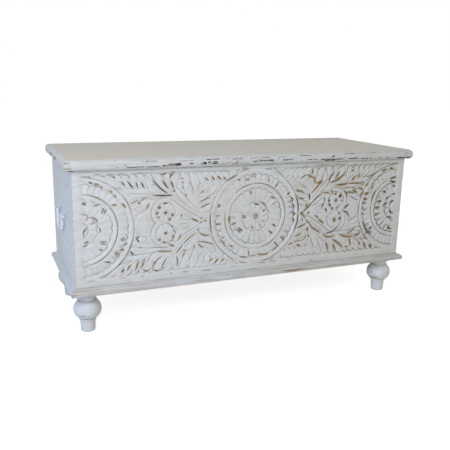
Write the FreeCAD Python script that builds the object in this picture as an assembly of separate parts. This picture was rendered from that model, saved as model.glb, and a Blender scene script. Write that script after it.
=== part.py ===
"""Carved storage chest on turned feet, built as separate wooden and iron pieces.

Millimetres. +X runs along the chest's length, +Y towards its back, +Z up.
The origin is on the floor under the middle of the chest.
"""
import FreeCAD
import Part
import math
import os

V = FreeCAD.Vector

# Carcass boards
carcass_length = 1114.0
carcass_depth = 407.0
carcass_height = 333.0
front_thickness = 24.0
board_thickness = 20.0
rebate_depth = 10.0

# Lid
lid_thickness = 32.0
lid_overhang = 18.0
lid_nose_radius = 13.0
lid_rear_arris = 2.0
lid_gap = 0.4
lid_board_names = ("lid_front_board", "lid_middle_board", "lid_rear_board")
batten_width = 45.0
batten_thickness = 18.0
batten_end_room = 12.0
batten_bevel = 8.0
batten_place = 0.3
batten_screw_length = 38.0

# Base frame and floor
base_thickness = 22.0
base_overhang = 16.0
base_nose_height = 8.5
base_under_cut = 2.5
base_cove_out = 9.5
base_cove_drop = 4.5
rail_width = 96.0
block_size = 56.0
cleat_size = 20.0
floor_thickness = 12.0
floor_room = 0.5
floor_board_names = ("floor_board_front", "floor_board_middle", "floor_board_back")

# Turned feet
foot_height = 124.0
foot_inset_x = 37.0
foot_inset_y = 44.0
foot_bulb_radius = 41.0
foot_toe_radius = 22.5
foot_neck_radius = 25.6
foot_collar_radius = 37.5
bolt_radius = 4.0
bolt_depth = 46.0
nut_radius = 7.5
nut_height = 6.5
nut_recess_radius = 11.0
nut_recess_depth = 9.0

# Hinges
hinge_length = 76.0
hinge_place = 0.34
hinge_setback = 4.5
leaf_reach = 22.0
leaf_thickness = 2.0
barrel_radius = 4.0
pin_radius = 2.0
pin_overhang = 1.0
pin_press_room = 0.02
pin_running_room = 0.05
knuckle_count = 5
knuckle_gap = 0.4
barrel_room = 0.4
groove_room = 0.6
hinge_screw_length = 22.0

# Screws and nails
screw_radius = 2.0
screw_head_radius = 4.0
base_screw_grip = 28.0
nail_radius = 1.4
nail_head_radius = 2.8
nail_head_height = 1.2
nail_grip = 25.0
nails_per_joint = 4

# Drop handles
handle_share = 0.54
bail_width = 87.0
bail_drop = 46.0
bail_radius = 4.0
bail_stand_off = 9.0
bail_corner_radius = 16.0
bail_neck_radius = 7.0
bail_pin_length = 20.0
staple_radius = 2.25
staple_room = 0.3
staple_depth = 17.0

# Carved field
border_side = 17.0
border_top = 11.0
border_bottom = 20.0
carve_depth = 7.0
relief_root = 1.0
side_rosette_cut = 3.0
ring_height = 6.4
petal_height = 4.6
rosette_height = 5.6
leaf_height = 4.9
heart_height = 5.3
flower_height = 4.2
tongue_height = 3.6
slot_width = 1.6
bead_slope = 0.3

# Levels and reaches worked out from the sizes above
half_x = carcass_length / 2
half_y = carcass_depth / 2
z_base = foot_height
z_carcass = z_base + base_thickness
z_rim = z_carcass + carcass_height
z_lid = z_rim + lid_gap
z_floor = z_carcass + cleat_size
inner_x = half_x - board_thickness
inner_front = -half_y + front_thickness
inner_back = half_y - board_thickness
end_front = inner_front - rebate_depth
end_back = inner_back + rebate_depth
axis_y = half_y + hinge_setback
axis_z = z_rim + lid_gap / 2
pivot_z = z_carcass + handle_share * carcass_height
ground_y = -half_y + carve_depth
field_bottom = z_carcass + border_bottom
field_top = z_rim - border_top
half_field = (field_top - field_bottom) / 2
z_mid = (field_top + field_bottom) / 2
field_half = half_x - border_side
side_rosette_x = field_half - side_rosette_cut
SIDES = (("left", -1), ("right", 1))
ENDS = (("front", -1), ("back", 1))


def box(x0, x1, y0, y1, z0, z1):
    """A block between two corners."""
    return Part.makeBox(x1 - x0, y1 - y0, z1 - z0, V(x0, y0, z0))


def line(a, b):
    """A straight edge."""
    return Part.LineSegment(a, b).toShape()


def arc(a, b, c):
    """An arc from a to c through b."""
    return Part.Arc(a, b, c).toShape()


def group(shapes):
    """Like pieces held as one node of separate solids."""
    return Part.makeCompound(shapes)


def screw(head, direction, length):
    """A countersunk wood screw whose flat head face is centred on head."""
    head_depth = screw_head_radius - screw_radius
    cone = Part.makeCone(screw_head_radius, screw_radius, head_depth, head, direction)
    shank = Part.makeCylinder(screw_radius, length - 2 * screw_radius, head, direction)
    tip_base = head + direction * (length - 2 * screw_radius)
    tip = Part.makeCone(screw_radius, 0, 2 * screw_radius, tip_base, direction)
    return cone.fuse([shank, tip]).removeSplitter()


# Carcass

def carcass_nails():
    """Nails through each end board into the front and back boards."""
    nails = []
    for _, side in SIDES:
        for y in (inner_front - rebate_depth / 2, inner_back + rebate_depth / 2):
            for i in range(nails_per_joint):
                z = z_carcass + carcass_height * (i + 0.5) / nails_per_joint
                start = V(side * half_x, y, z)
                inward = V(-side, 0, 0)
                head = Part.makeCylinder(nail_head_radius, nail_head_height, start, inward)
                shank = Part.makeCylinder(nail_radius, board_thickness + nail_grip, start, inward)
                nails.append(head.fuse(shank).removeSplitter())
    return nails


def end_rebates(y0, y1):
    """The two cuts at a long board's ends that house the end boards."""
    return [box(min(s * inner_x, s * half_x), max(s * inner_x, s * half_x), y0, y1, z_carcass, z_rim)
            for _, s in SIDES]


def end_panel(side):
    """A plain end board."""
    x0, x1 = sorted((side * inner_x, side * half_x))
    return box(x0, x1, end_front, end_back, z_carcass, z_rim)


def back_panel():
    """The plain back board with rebated ends."""
    board = box(-half_x, half_x, inner_back, half_y, z_carcass, z_rim)
    return board.cut(end_rebates(inner_back, end_back))


# Carving on the front board

def spot(x, w):
    """A point of the carving's drawing plane: x along the board, w up from the field's middle."""
    return V(x, ground_y + relief_root, z_mid + w)


def polar(centre_x, centre_w, radius, angle):
    """A drawing-plane point at a radius and angle from a centre."""
    return spot(centre_x + radius * math.cos(angle), centre_w + radius * math.sin(angle))


def raised(edges, height):
    """A closed outline raised from the carved ground."""
    return Part.Face(Part.Wire(edges)).extrude(V(0, -(height + relief_root), 0))


def raised_disc(x, w, radius, height):
    """A plain round raised from the carved ground."""
    return Part.makeCylinder(radius, height + relief_root, spot(x, w), V(0, -1, 0))


def bead_ring(x, w, inner, outer, height):
    """A rounded ring: a section with sloping shoulders turned about the ring's centre."""
    root = ground_y + relief_root
    shoulder = ground_y - height / 2
    crown = ground_y - height
    slope = bead_slope * (outer - inner)
    z = z_mid + w
    section = [(inner, root), (inner, shoulder), (inner + slope, crown),
               (outer - slope, crown), (outer, shoulder), (outer, root)]
    corners = [V(x + radius, y, z) for radius, y in section]
    face = Part.Face(Part.makePolygon(corners + corners[:1]))
    return face.revolve(V(x, 0, z), V(0, 1, 0), 360)


def petal_tier(x, w, count, root, outer, height):
    """A ring of round-ended petals parted by narrow slots that run in to the root radius."""
    step = 2 * math.pi / count
    shoulder = outer - outer * math.sin(step / 2) * 0.7
    edges = []
    for i in range(count):
        root_turn = slot_width / 2 / root
        shoulder_turn = slot_width / 2 / shoulder
        start = polar(x, w, root, i * step + root_turn)
        side_a = polar(x, w, shoulder, i * step + shoulder_turn)
        tip = polar(x, w, outer, (i + 0.5) * step)
        side_b = polar(x, w, shoulder, (i + 1) * step - shoulder_turn)
        finish = polar(x, w, root, (i + 1) * step - root_turn)
        following = polar(x, w, root, (i + 1) * step + root_turn)
        edges += [line(start, side_a), arc(side_a, tip, side_b)]
        edges += [line(side_b, finish), line(finish, following)]
    return raised(edges, height)


def rosette(x, petals_outer, petals_inner, boss_share):
    """One rosette: two beads, two petal rings and a petalled middle, as shares of its radius."""
    radius = half_field
    outer_petals = petal_tier(x, 0, petals_outer, 0.72 * radius, 0.90 * radius, petal_height)
    outer_petals = outer_petals.cut(raised_disc(x, 0, 0.67 * radius, carve_depth))
    inner_petals = petal_tier(x, 0, petals_inner, 0.36 * radius, 0.61 * radius, petal_height)
    middle = petal_tier(x, 0, 12, 0.12 * radius, 0.32 * radius, rosette_height)
    return [bead_ring(x, 0, 0.915 * radius, 1.005 * radius, ring_height),
            bead_ring(x, 0, 0.645 * radius, 0.71 * radius, ring_height),
            outer_petals, inner_petals, middle,
            raised_disc(x, 0, boss_share * radius, carve_depth)]


def leaf(base, tip, half_width, bend):
    """A finger leaf: pointed at its base, round at its tip, its sides two arcs."""
    along = tip - base
    length = along.Length
    along.normalize()
    across = V(-along.z, 0, along.x)
    middle = base + along * (0.55 * length) + across * bend
    shoulder = base + along * (length - 0.8 * half_width)
    side_a = shoulder + across * (0.8 * half_width)
    side_b = shoulder - across * (0.8 * half_width)
    return raised([arc(base, middle + across * half_width, side_a), arc(side_a, tip, side_b),
                   arc(side_b, middle - across * half_width, base)], leaf_height)


def share_spot(x_share, w_share):
    """A point by its shares of the rosette spacing and of half the field's height."""
    return spot(x_share * side_rosette_x, w_share * half_field)


def spray(count, base_a, base_b, tip_a, tip_b, width_share):
    """Leaves side by side: bases along one line, tips along another."""
    leaves = []
    for i in range(count):
        t = i / (count - 1)
        base = [a + (b - a) * t for a, b in zip(base_a, base_b)]
        tip = [a + (b - a) * t for a, b in zip(tip_a, tip_b)]
        leaves.append(single_leaf(base, tip, width_share))
    return leaves


def single_leaf(base, tip, width_share, bend_share=0.0):
    """One leaf by the shares of its base and tip."""
    return leaf(share_spot(*base), share_spot(*tip), width_share * half_field, bend_share * half_field)


def quarter_leaves():
    """The leaf sprays of the field's upper right quarter."""
    corner_spray = spray(5, (0.637, 0.60), (0.754, 0.69), (0.642, 0.95), (0.823, 0.935), 0.056)
    corner_leaf = single_leaf((0.775, 0.665), (0.942, 0.985), 0.036, 0.05)
    palm = spray(4, (0.488, 0.60), (0.512, 0.56), (0.486, 0.955), (0.640, 0.735), 0.066)
    middle_pair = spray(2, (0.384, 0.62), (0.413, 0.66), (0.392, 0.955), (0.436, 0.955), 0.052)
    ring_spray = spray(5, (0.209, 0.71), (0.322, 0.64), (0.186, 0.93), (0.358, 0.93), 0.050)
    apex_spray = spray(3, (0.332, 0.19), (0.354, 0.37), (0.288, 0.27), (0.245, 0.66), 0.050)
    flank_leaf = single_leaf((0.370, 0.39), (0.447, 0.69), 0.056)
    lens_pair = spray(2, (0.643, 0.35), (0.655, 0.47), (0.722, 0.25), (0.737, 0.52), 0.056)
    heart_leaf = single_leaf((0.472, 0.06), (0.422, 0.20), 0.034)
    return (corner_spray + palm + middle_pair + ring_spray + apex_spray + lens_pair
            + [corner_leaf, flank_leaf, heart_leaf])


def flower(x, w):
    """A flower of eight petals with a drilled middle."""
    radius = 0.185 * half_field
    petals = petal_tier(x, w, 8, 0.5 * radius, radius, flower_height)
    drill_end = spot(x, w) + V(0, -relief_root, 0)
    return petals.cut(Part.makeCylinder(0.2 * radius, 2 * carve_depth, drill_end, V(0, -1, 0)))


def heart_half():
    """Half of a heart: its flower, the ring round it and the flank to the apex."""
    x = 0.540 * side_rosette_x
    w = 0.215 * half_field
    ring = bead_ring(x, w, 0.215 * half_field, 0.275 * half_field, heart_height)
    flank = single_leaf((0.310, -0.03), (0.528, 0.45), 0.070, 0.04)
    return [flower(x, w), ring, flank]


def heart_middle():
    """The plain tongue behind the two flowers and the leaf between the heart's flanks."""
    tongue = raised_disc(0.632 * side_rosette_x, 0, 0.285 * half_field, tongue_height)
    inner_leaf = leaf(share_spot(0.482, 0.0), share_spot(0.382, 0.0), 0.06 * half_field, 0.0)
    return [tongue, inner_leaf]


def mirrored(shapes, normal):
    """The shapes together with their mirror images through the field's middle."""
    middle = V(0, 0, z_mid)
    return shapes + [s.mirror(middle, normal) for s in shapes]


def front_panel():
    """The front board: rebated ends, sunk field and the carving raised from its ground."""
    board = box(-half_x, half_x, -half_y, inner_front, z_carcass, z_rim)
    board = board.cut(end_rebates(end_front, inner_front))
    board = board.cut(box(-field_half, field_half, -half_y, ground_y, field_bottom, field_top))
    quarter = mirrored(quarter_leaves() + heart_half(), V(0, 0, 1))
    motifs = mirrored(quarter + heart_middle(), V(1, 0, 0))
    motifs += rosette(0, 40, 20, 0.07)
    keep = box(-half_x + border_side / 2, half_x - border_side / 2, -half_y, inner_front, z_carcass, z_rim)
    for _, side in SIDES:
        motifs += [s.common(keep) for s in rosette(side * side_rosette_x, 42, 24, 0.13)]
    return board.multiFuse(motifs).removeSplitter()


# Base frame, floor and feet

def base_edge(reach):
    """The base's moulded edge as three arcs from its top to its underside: cove, nose and undercut."""
    nose = reach + base_overhang
    under = nose - base_under_cut
    cove_end = reach + base_cove_out
    z_nose = z_base + base_nose_height
    z_cove = z_carcass - base_cove_drop
    in_cove = (reach + 0.4 * base_cove_out, z_carcass - 0.7 * base_cove_drop)
    on_nose = (nose - 0.12 * base_overhang, (z_cove + z_nose) / 2 + 1.0)
    in_undercut = (nose - 0.2 * base_under_cut, (z_nose + z_base) / 2)
    return [((reach, z_carcass), in_cove, (cove_end, z_cove)),
            ((cove_end, z_cove), on_nose, (nose, z_nose)),
            ((nose, z_nose), in_undercut, (under, z_base))]


def moulded_slab(right, half_long, run_along_x):
    """A slab whose section is closed by mirroring its right-hand edge, carried along its length."""
    def place(point, sign):
        s, z = sign * point[0], point[1]
        return V(-half_long, s, z) if run_along_x else V(s, -half_long, z)

    edges = []
    for a, b, c in right:
        edges.append(arc(place(a, 1), place(b, 1), place(c, 1)))
        edges.append(arc(place(a, -1), place(b, -1), place(c, -1)))
    low, high = right[-1][2], right[0][0]
    edges.append(line(place(low, 1), place(low, -1)))
    edges.append(line(place(high, 1), place(high, -1)))
    wire = Part.Wire(Part.__sortEdges__(edges))
    along = V(2 * half_long, 0, 0) if run_along_x else V(0, 2 * half_long, 0)
    return Part.Face(wire).extrude(along)


def base_rails():
    """Four moulded rails cut at the mitres from one frame."""
    out_x = half_x + base_overhang
    out_y = half_y + base_overhang
    long_slab = moulded_slab(base_edge(half_y), out_x, True)
    frame = long_slab.common(moulded_slab(base_edge(half_x), out_y, False))
    hole_x = out_x - rail_width
    hole_y = out_y - rail_width
    rails = {}
    for name, side in ENDS:
        corners = [V(-out_x, side * out_y, z_base), V(out_x, side * out_y, z_base),
                   V(hole_x, side * hole_y, z_base), V(-hole_x, side * hole_y, z_base)]
        rails["base_rail_" + name] = frame.common(mitre_block(corners))
    for name, side in SIDES:
        corners = [V(side * out_x, -out_y, z_base), V(side * out_x, out_y, z_base),
                   V(side * hole_x, hole_y, z_base), V(side * hole_x, -hole_y, z_base)]
        rails["base_rail_" + name] = frame.common(mitre_block(corners))
    return rails


def mitre_block(corners):
    """A four-cornered prism as deep as the base."""
    return Part.Face(Part.makePolygon(corners + corners[:1])).extrude(V(0, 0, base_thickness))


def base_screws():
    """Screws from below through the frame into the carcass boards."""
    spots = []
    for y in (-half_y + front_thickness / 2, half_y - board_thickness / 2):
        spots += [(share * carcass_length, y) for share in (-0.36, -0.12, 0.12, 0.36)]
    for _, side in SIDES:
        spots += [(side * (half_x - board_thickness / 2), share * carcass_depth) for share in (-0.14, 0.14)]
    return [screw(V(x, y, z_base), V(0, 0, 1), base_thickness + base_screw_grip) for x, y in spots]


def foot_centres():
    """Each foot's name and axis."""
    return [("{}_{}".format(end, side), sx * (half_x - foot_inset_x), sy * (half_y - foot_inset_y), sx, sy)
            for end, sy in ENDS for side, sx in SIDES]


def foot(x, y):
    """A turned foot: rounded toe, bead, bulb, fillet, hollow neck and collar."""
    def p(radius, share):
        return V(radius, 0, share * foot_height)

    toe = foot_toe_radius
    neck = foot_neck_radius
    collar = foot_collar_radius
    bead_end = p(toe + 1.0, 0.33)
    bulb_end = p(neck + 1.4, 0.766)
    edges = [line(p(0, 0), p(toe - 5.5, 0)),
             arc(p(toe - 5.5, 0), p(toe - 2.2, 0.014), p(toe - 1.0, 0.05)),
             line(p(toe - 1.0, 0.05), p(toe, 0.275)),
             arc(p(toe, 0.275), p(toe + 2.8, 0.302), bead_end),
             arc(bead_end, p(foot_bulb_radius, 0.545), bulb_end),
             line(bulb_end, p(neck + 2.8, 0.766)),
             line(p(neck + 2.8, 0.766), p(neck + 2.8, 0.794)),
             line(p(neck + 2.8, 0.794), p(neck + 0.9, 0.794)),
             arc(p(neck + 0.9, 0.794), p(neck, 0.842), p(collar - 3.5, 0.911)),
             line(p(collar - 3.5, 0.911), p(collar - 2.5, 0.911)),
             arc(p(collar - 2.5, 0.911), p(collar, 0.956), p(collar - 2.0, 1.0)),
             line(p(collar - 2.0, 1.0), p(0, 1.0)),
             line(p(0, 1.0), p(0, 0))]
    turned = Part.Face(Part.Wire(edges)).revolve(V(0, 0, 0), V(0, 0, 1), 360)
    turned.translate(V(x, y, 0))
    return turned.cut(foot_bolt(x, y))


def foot_bolt(x, y):
    """The bolt that holds a foot to its corner block."""
    top = z_floor - nut_recess_depth + nut_height + 1.0
    start = z_base - bolt_depth
    return Part.makeCylinder(bolt_radius, top - start, V(x, y, start))


def foot_nut(x, y):
    """A hexagon nut at the bottom of the corner block's recess."""
    z = z_floor - nut_recess_depth
    corners = [V(x + nut_radius * math.cos(i * math.pi / 3), y + nut_radius * math.sin(i * math.pi / 3), z)
               for i in range(6)]
    prism = Part.Face(Part.makePolygon(corners + corners[:1])).extrude(V(0, 0, nut_height))
    return prism.cut(foot_bolt(x, y))


def foot_block(x, y, sx, sy):
    """A corner block over the mitre, bored for the bolt and recessed for its nut."""
    x0, x1 = sorted((sx * inner_x, sx * (inner_x - block_size)))
    wall = inner_front if sy < 0 else inner_back
    y0, y1 = sorted((wall, wall - sy * block_size))
    block = box(x0, x1, y0, y1, z_carcass, z_floor)
    recess = Part.makeCylinder(nut_recess_radius, nut_recess_depth, V(x, y, z_floor - nut_recess_depth))
    return block.cut([recess, foot_bolt(x, y)])


def floor_cleats():
    """Strips between the corner blocks that carry the floor."""
    run_x = inner_x - block_size
    y0 = inner_front + block_size
    y1 = inner_back - block_size
    cleats = {}
    for name, wall in (("front", inner_front), ("back", inner_back - cleat_size)):
        cleats["floor_cleat_" + name] = box(-run_x, run_x, wall, wall + cleat_size, z_carcass, z_floor)
    for name, side in SIDES:
        x0, x1 = sorted((side * inner_x, side * (inner_x - cleat_size)))
        cleats["floor_cleat_" + name] = box(x0, x1, y0, y1, z_carcass, z_floor)
    return cleats


def floor_boards():
    """Loose boards laid on the cleats."""
    front = inner_front + floor_room
    width = (inner_back - inner_front - 2 * floor_room) / len(floor_board_names)
    reach = inner_x - floor_room
    return {name: box(-reach, reach, front + i * width, front + (i + 1) * width,
                      z_floor, z_floor + floor_thickness)
            for i, name in enumerate(floor_board_names)}


# Hinges

def along_x(radius, x0, x1):
    """A cylinder about the hinge axis between two places along it."""
    return Part.makeCylinder(radius, x1 - x0, V(x0, axis_y, axis_z), V(1, 0, 0))


def knuckle_spans(x):
    """The barrel's knuckles: the even ones belong to the box leaf, the odd ones to the lid leaf."""
    pitch = hinge_length / knuckle_count
    start = x - hinge_length / 2
    spans = [(start + i * pitch, start + (i + 1) * pitch) for i in range(knuckle_count)]
    return spans[0::2], spans[1::2]


def leaf_plate(x, z0):
    """A leaf's plate, or the mortise that takes it."""
    half = hinge_length / 2
    return box(x - half, x + half, axis_y - leaf_reach, axis_y, z0, z0 + leaf_thickness)


def hinge_leaf(x, z0, own, other, bore_radius, screws):
    """A leaf with its own knuckles, cleared for the other leaf's."""
    half_gap = knuckle_gap / 2
    clear = [along_x(barrel_radius + barrel_room, a - half_gap, b + half_gap) for a, b in other]
    barrel = [along_x(barrel_radius, a, b) for a, b in own]
    bore = along_x(bore_radius, x - hinge_length, x + hinge_length)
    return leaf_plate(x, z0).fuse(barrel).cut(clear + [bore] + screws).removeSplitter()


def box_leaf(x, screws):
    """The leaf let into the back board's rim, its knuckles tight on the pin."""
    own, other = knuckle_spans(x)
    return hinge_leaf(x, z_rim - leaf_thickness, own, other, pin_radius + pin_press_room, screws)


def lid_leaf(x, screws):
    """The leaf let into the lid's underside, its knuckles free to turn on the pin."""
    other, own = knuckle_spans(x)
    return hinge_leaf(x, z_lid, own, other, pin_radius + pin_running_room, screws)


def hinge_spots():
    """Each hinge's name and its middle along the chest."""
    reach = hinge_place * carcass_length
    return (("left", -reach), ("centre", 0.0), ("right", reach))


def leaf_screws(x, z_head, direction):
    """Three countersunk screws of one leaf, staggered across it."""
    y = axis_y - leaf_reach / 2 - 1.5
    return [screw(V(x + share * hinge_length, y - stagger, z_head), V(0, 0, direction), hinge_screw_length)
            for share, stagger in ((-0.36, 0.0), (0.0, 2.5), (0.36, 0.0))]


def hinge_pin(x):
    """The pin through all knuckles."""
    reach = hinge_length / 2 + pin_overhang
    return along_x(pin_radius, x - reach, x + reach)


def barrel_groove(x):
    """The hollow under the lid's rear edge that clears the barrel at every angle."""
    reach = hinge_length / 2 + 2 * pin_overhang
    return along_x(barrel_radius + groove_room, x - reach, x + reach)


# Lid

def nose_edge(reach, z0, z1):
    """The lid's half-round nose as upper and lower quarter arcs with a short flat between."""
    r = lid_nose_radius
    chord = r * math.sqrt(0.5)
    return [((reach - r, z1), (reach - r + chord, z1 - r + chord), (reach, z1 - r)),
            ((reach, z0 + r), (reach - r + chord, z0 + r - chord), (reach - r, z0))]


def lid_long_section():
    """The lid's section across its depth: nose in front, small arrises behind."""
    z1 = z_lid + lid_thickness
    front = half_y + lid_overhang
    upper, lower = nose_edge(front, z_lid, z1)
    a = lid_rear_arris
    x = -half_x - lid_overhang

    def p(s, z):
        return V(x, s, z)

    edges = [arc(p(-upper[0][0], upper[0][1]), p(-upper[1][0], upper[1][1]), p(-upper[2][0], upper[2][1])),
             line(p(-front, upper[2][1]), p(-front, lower[0][1])),
             arc(p(-lower[0][0], lower[0][1]), p(-lower[1][0], lower[1][1]), p(-lower[2][0], lower[2][1])),
             line(p(-lower[2][0], z_lid), p(front - a, z_lid)),
             line(p(front - a, z_lid), p(front, z_lid + a)),
             line(p(front, z_lid + a), p(front, z1 - a)),
             line(p(front, z1 - a), p(front - a, z1)),
             line(p(front - a, z1), p(-upper[0][0], z1))]
    return Part.Face(Part.Wire(edges)).extrude(V(carcass_length + 2 * lid_overhang, 0, 0))


def lid_end_section():
    """The lid's section along its length: the nose at both ends."""
    z1 = z_lid + lid_thickness
    reach = half_x + lid_overhang
    upper, lower = nose_edge(reach, z_lid, z1)
    y = -half_y - lid_overhang
    edges = []
    for side in (1, -1):
        for a, b, c in (upper, lower):
            edges.append(arc(V(side * a[0], y, a[1]), V(side * b[0], y, b[1]), V(side * c[0], y, c[1])))
        edges.append(line(V(side * reach, y, upper[2][1]), V(side * reach, y, lower[0][1])))
    for z in (z_lid, z1):
        edges.append(line(V(-reach + lid_nose_radius, y, z), V(reach - lid_nose_radius, y, z)))
    wire = Part.Wire(Part.__sortEdges__(edges))
    return Part.Face(wire).extrude(V(0, carcass_depth + 2 * lid_overhang, 0))


def lid_boards(cutters):
    """The moulded lid sawn into its boards, with mortises, grooves and screw holes."""
    slab = lid_long_section().common(lid_end_section())
    reach_x = half_x + lid_overhang
    front = -half_y - lid_overhang
    width = (carcass_depth + 2 * lid_overhang) / len(lid_board_names)
    z1 = z_lid + lid_thickness
    boards = {}
    for i, name in enumerate(lid_board_names):
        strip = box(-reach_x, reach_x, front + i * width, front + (i + 1) * width, z_lid, z1)
        boards[name] = slab.common(strip).cut(cutters)
    return boards


def batten_spot(side):
    """A batten's middle along the chest."""
    return side * batten_place * carcass_length


def batten(side, screws):
    """A batten across the lid's underside with bevelled ends."""
    x0 = batten_spot(side) - batten_width / 2
    y0 = inner_front + batten_end_room
    y1 = inner_back - batten_end_room
    low = z_lid - batten_thickness
    mid = z_lid - batten_thickness / 2
    corners = [V(x0, y0, z_lid), V(x0, y0, mid), V(x0, y0 + batten_bevel, low),
               V(x0, y1 - batten_bevel, low), V(x0, y1, mid), V(x0, y1, z_lid)]
    bar = Part.Face(Part.makePolygon(corners + corners[:1])).extrude(V(batten_width, 0, 0))
    return bar.cut(screws)


def batten_screws(side):
    """Four screws up through a batten into the lid boards."""
    run = inner_back - inner_front
    middle = (inner_back + inner_front) / 2
    return [screw(V(batten_spot(side), middle + share * run, z_lid - batten_thickness), V(0, 0, 1),
                  batten_screw_length) for share in (-0.38, -0.13, 0.13, 0.38)]


# Drop handles

def handle_bail(side):
    """A round iron bar bent to a wide U with its ends turned outwards."""
    x = side * (half_x + bail_stand_off)
    arm = bail_width / 2
    neck = bail_neck_radius
    turn = bail_corner_radius
    low = -bail_drop

    def p(y, z):
        return V(x, y, pivot_z + z)

    def bend(y, z, radius, y_sign, z_sign):
        reach = radius * (1 - math.sqrt(0.5))
        middle = p(y + y_sign * reach, z + z_sign * reach)
        return arc(p(y, z + z_sign * radius), middle, p(y + y_sign * radius, z))

    edges = [line(p(-arm - bail_pin_length, 0), p(-arm - neck, 0)),
             bend(-arm, 0, neck, -1, -1),
             line(p(-arm, -neck), p(-arm, low + turn)),
             bend(-arm, low, turn, 1, 1),
             line(p(-arm + turn, low), p(arm - turn, low)),
             bend(arm, low, turn, -1, 1),
             line(p(arm, low + turn), p(arm, -neck)),
             bend(arm, 0, neck, 1, -1),
             line(p(arm + neck, 0), p(arm + bail_pin_length, 0))]
    path = Part.Wire(Part.__sortEdges__(edges))
    end = p(-arm - bail_pin_length, 0)
    section = Part.Wire(Part.makeCircle(bail_radius, end, V(0, 1, 0)))
    return path.makePipeShell([section], True, True)


def handle_staples(side):
    """Two driven staples whose loops hold the handle's turned ends."""
    loop = bail_radius + staple_room + staple_radius
    x = side * (half_x + bail_stand_off)
    inside = side * (half_x - staple_depth)
    staples = []
    for end in (-1, 1):
        y = end * (bail_width / 2 + (bail_neck_radius + bail_pin_length) / 2)
        edges = [line(V(inside, y, pivot_z - loop), V(x, y, pivot_z - loop)),
                 arc(V(x, y, pivot_z - loop), V(x + side * loop, y, pivot_z), V(x, y, pivot_z + loop)),
                 line(V(x, y, pivot_z + loop), V(inside, y, pivot_z + loop))]
        section = Part.Wire(Part.makeCircle(staple_radius, V(inside, y, pivot_z - loop), V(1, 0, 0)))
        staples.append(Part.Wire(edges).makePipeShell([section], True, True))
    return staples


def build():
    """Every node's shape by its name."""
    nodes = {}
    nails = carcass_nails()
    frame_screws = base_screws()
    staples = {name: handle_staples(side) for name, side in SIDES}
    box_screws = []
    lid_screws = []
    lid_cutters = []
    rim_cutters = []
    for name, x in hinge_spots():
        down = leaf_screws(x, z_rim, -1)
        up = leaf_screws(x, z_lid, 1)
        nodes["hinge_" + name + "_box_leaf"] = box_leaf(x, down)
        nodes["hinge_" + name + "_lid_leaf"] = lid_leaf(x, up)
        nodes["hinge_" + name + "_pin"] = hinge_pin(x)
        box_screws += down
        lid_screws += up
        rim_cutters += down + [leaf_plate(x, z_rim - leaf_thickness)]
        lid_cutters += up + [leaf_plate(x, z_lid), barrel_groove(x)]
    nodes["box_hinge_screws"] = group(box_screws)
    nodes["lid_hinge_screws"] = group(lid_screws)

    nodes["front_panel"] = front_panel().cut(nails + frame_screws)
    nodes["back_panel"] = back_panel().cut(nails + frame_screws + rim_cutters)
    for name, side in SIDES:
        nodes[name + "_end_panel"] = end_panel(side).cut(nails + frame_screws + staples[name])
        nodes[name + "_handle_staples"] = group(staples[name])
        nodes[name + "_handle_bail"] = handle_bail(side)
    nodes["carcass_nails"] = group(nails)
    nodes["base_screws"] = group(frame_screws)

    bolts = []
    nuts = []
    for name, x, y, sx, sy in foot_centres():
        nodes["foot_" + name] = foot(x, y)
        nodes["foot_block_" + name] = foot_block(x, y, sx, sy)
        bolts.append(foot_bolt(x, y))
        nuts.append(foot_nut(x, y))
    nodes["foot_bolts"] = group(bolts)
    nodes["foot_nuts"] = group(nuts)
    for name, rail in base_rails().items():
        nodes[name] = rail.cut(frame_screws + bolts)
    nodes.update(floor_cleats())
    nodes.update(floor_boards())

    fixings = []
    for name, side in SIDES:
        screws = batten_screws(side)
        nodes["lid_batten_" + name] = batten(side, screws)
        fixings += screws
    nodes["batten_screws"] = group(fixings)
    nodes.update(lid_boards(lid_cutters + fixings))
    return nodes


def main():
    """Write every node to its own file."""
    os.makedirs("parts", exist_ok=True)
    for name, shape in build().items():
        shape.exportStep(os.path.join("parts", name + ".step"))
        print(name, len(shape.Solids), "solids", shape.isValid(), round(shape.Volume / 1000, 1), "cm3")


if __name__ == "__main__":
    main()
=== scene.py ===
"""Looks of a whitewashed, carved storage chest on turned feet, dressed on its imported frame.

Sizes in the classes are millimetres in the part's frame: +X along the chest, +Y to its back, +Z up.
"""

import logging
import math
from dataclasses import dataclass, field, replace
from enum import Enum
from typing import Any

import bpy
import numpy as np
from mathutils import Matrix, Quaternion, Vector


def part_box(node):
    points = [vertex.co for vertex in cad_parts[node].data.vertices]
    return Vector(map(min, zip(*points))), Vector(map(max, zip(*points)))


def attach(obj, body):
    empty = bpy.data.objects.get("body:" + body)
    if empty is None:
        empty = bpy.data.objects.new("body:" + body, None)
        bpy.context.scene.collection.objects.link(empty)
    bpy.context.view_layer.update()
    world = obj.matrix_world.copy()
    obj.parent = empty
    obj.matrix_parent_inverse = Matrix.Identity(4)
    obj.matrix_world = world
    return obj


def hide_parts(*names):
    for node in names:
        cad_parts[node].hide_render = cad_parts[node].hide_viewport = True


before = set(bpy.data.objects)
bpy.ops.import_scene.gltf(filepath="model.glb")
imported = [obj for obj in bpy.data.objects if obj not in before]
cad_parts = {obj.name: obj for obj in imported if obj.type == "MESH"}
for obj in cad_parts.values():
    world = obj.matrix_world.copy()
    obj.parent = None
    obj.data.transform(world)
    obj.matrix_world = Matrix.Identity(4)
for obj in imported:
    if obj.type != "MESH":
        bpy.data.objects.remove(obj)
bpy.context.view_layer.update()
MM = 0.001
LOG = logging.getLogger("chest")
Array = np.ndarray
Pair = tuple[float, float]
Triple = tuple[float, float, float]
Rows = tuple[tuple[float, ...], ...]
Tree = bpy.types.NodeTree
Node = bpy.types.Node
Source = bpy.types.Node | bpy.types.NodeSocket


class Body(Enum):
    """The moving bodies of the frame."""

    CARCASS = "carcass"
    LID = "lid"


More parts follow.
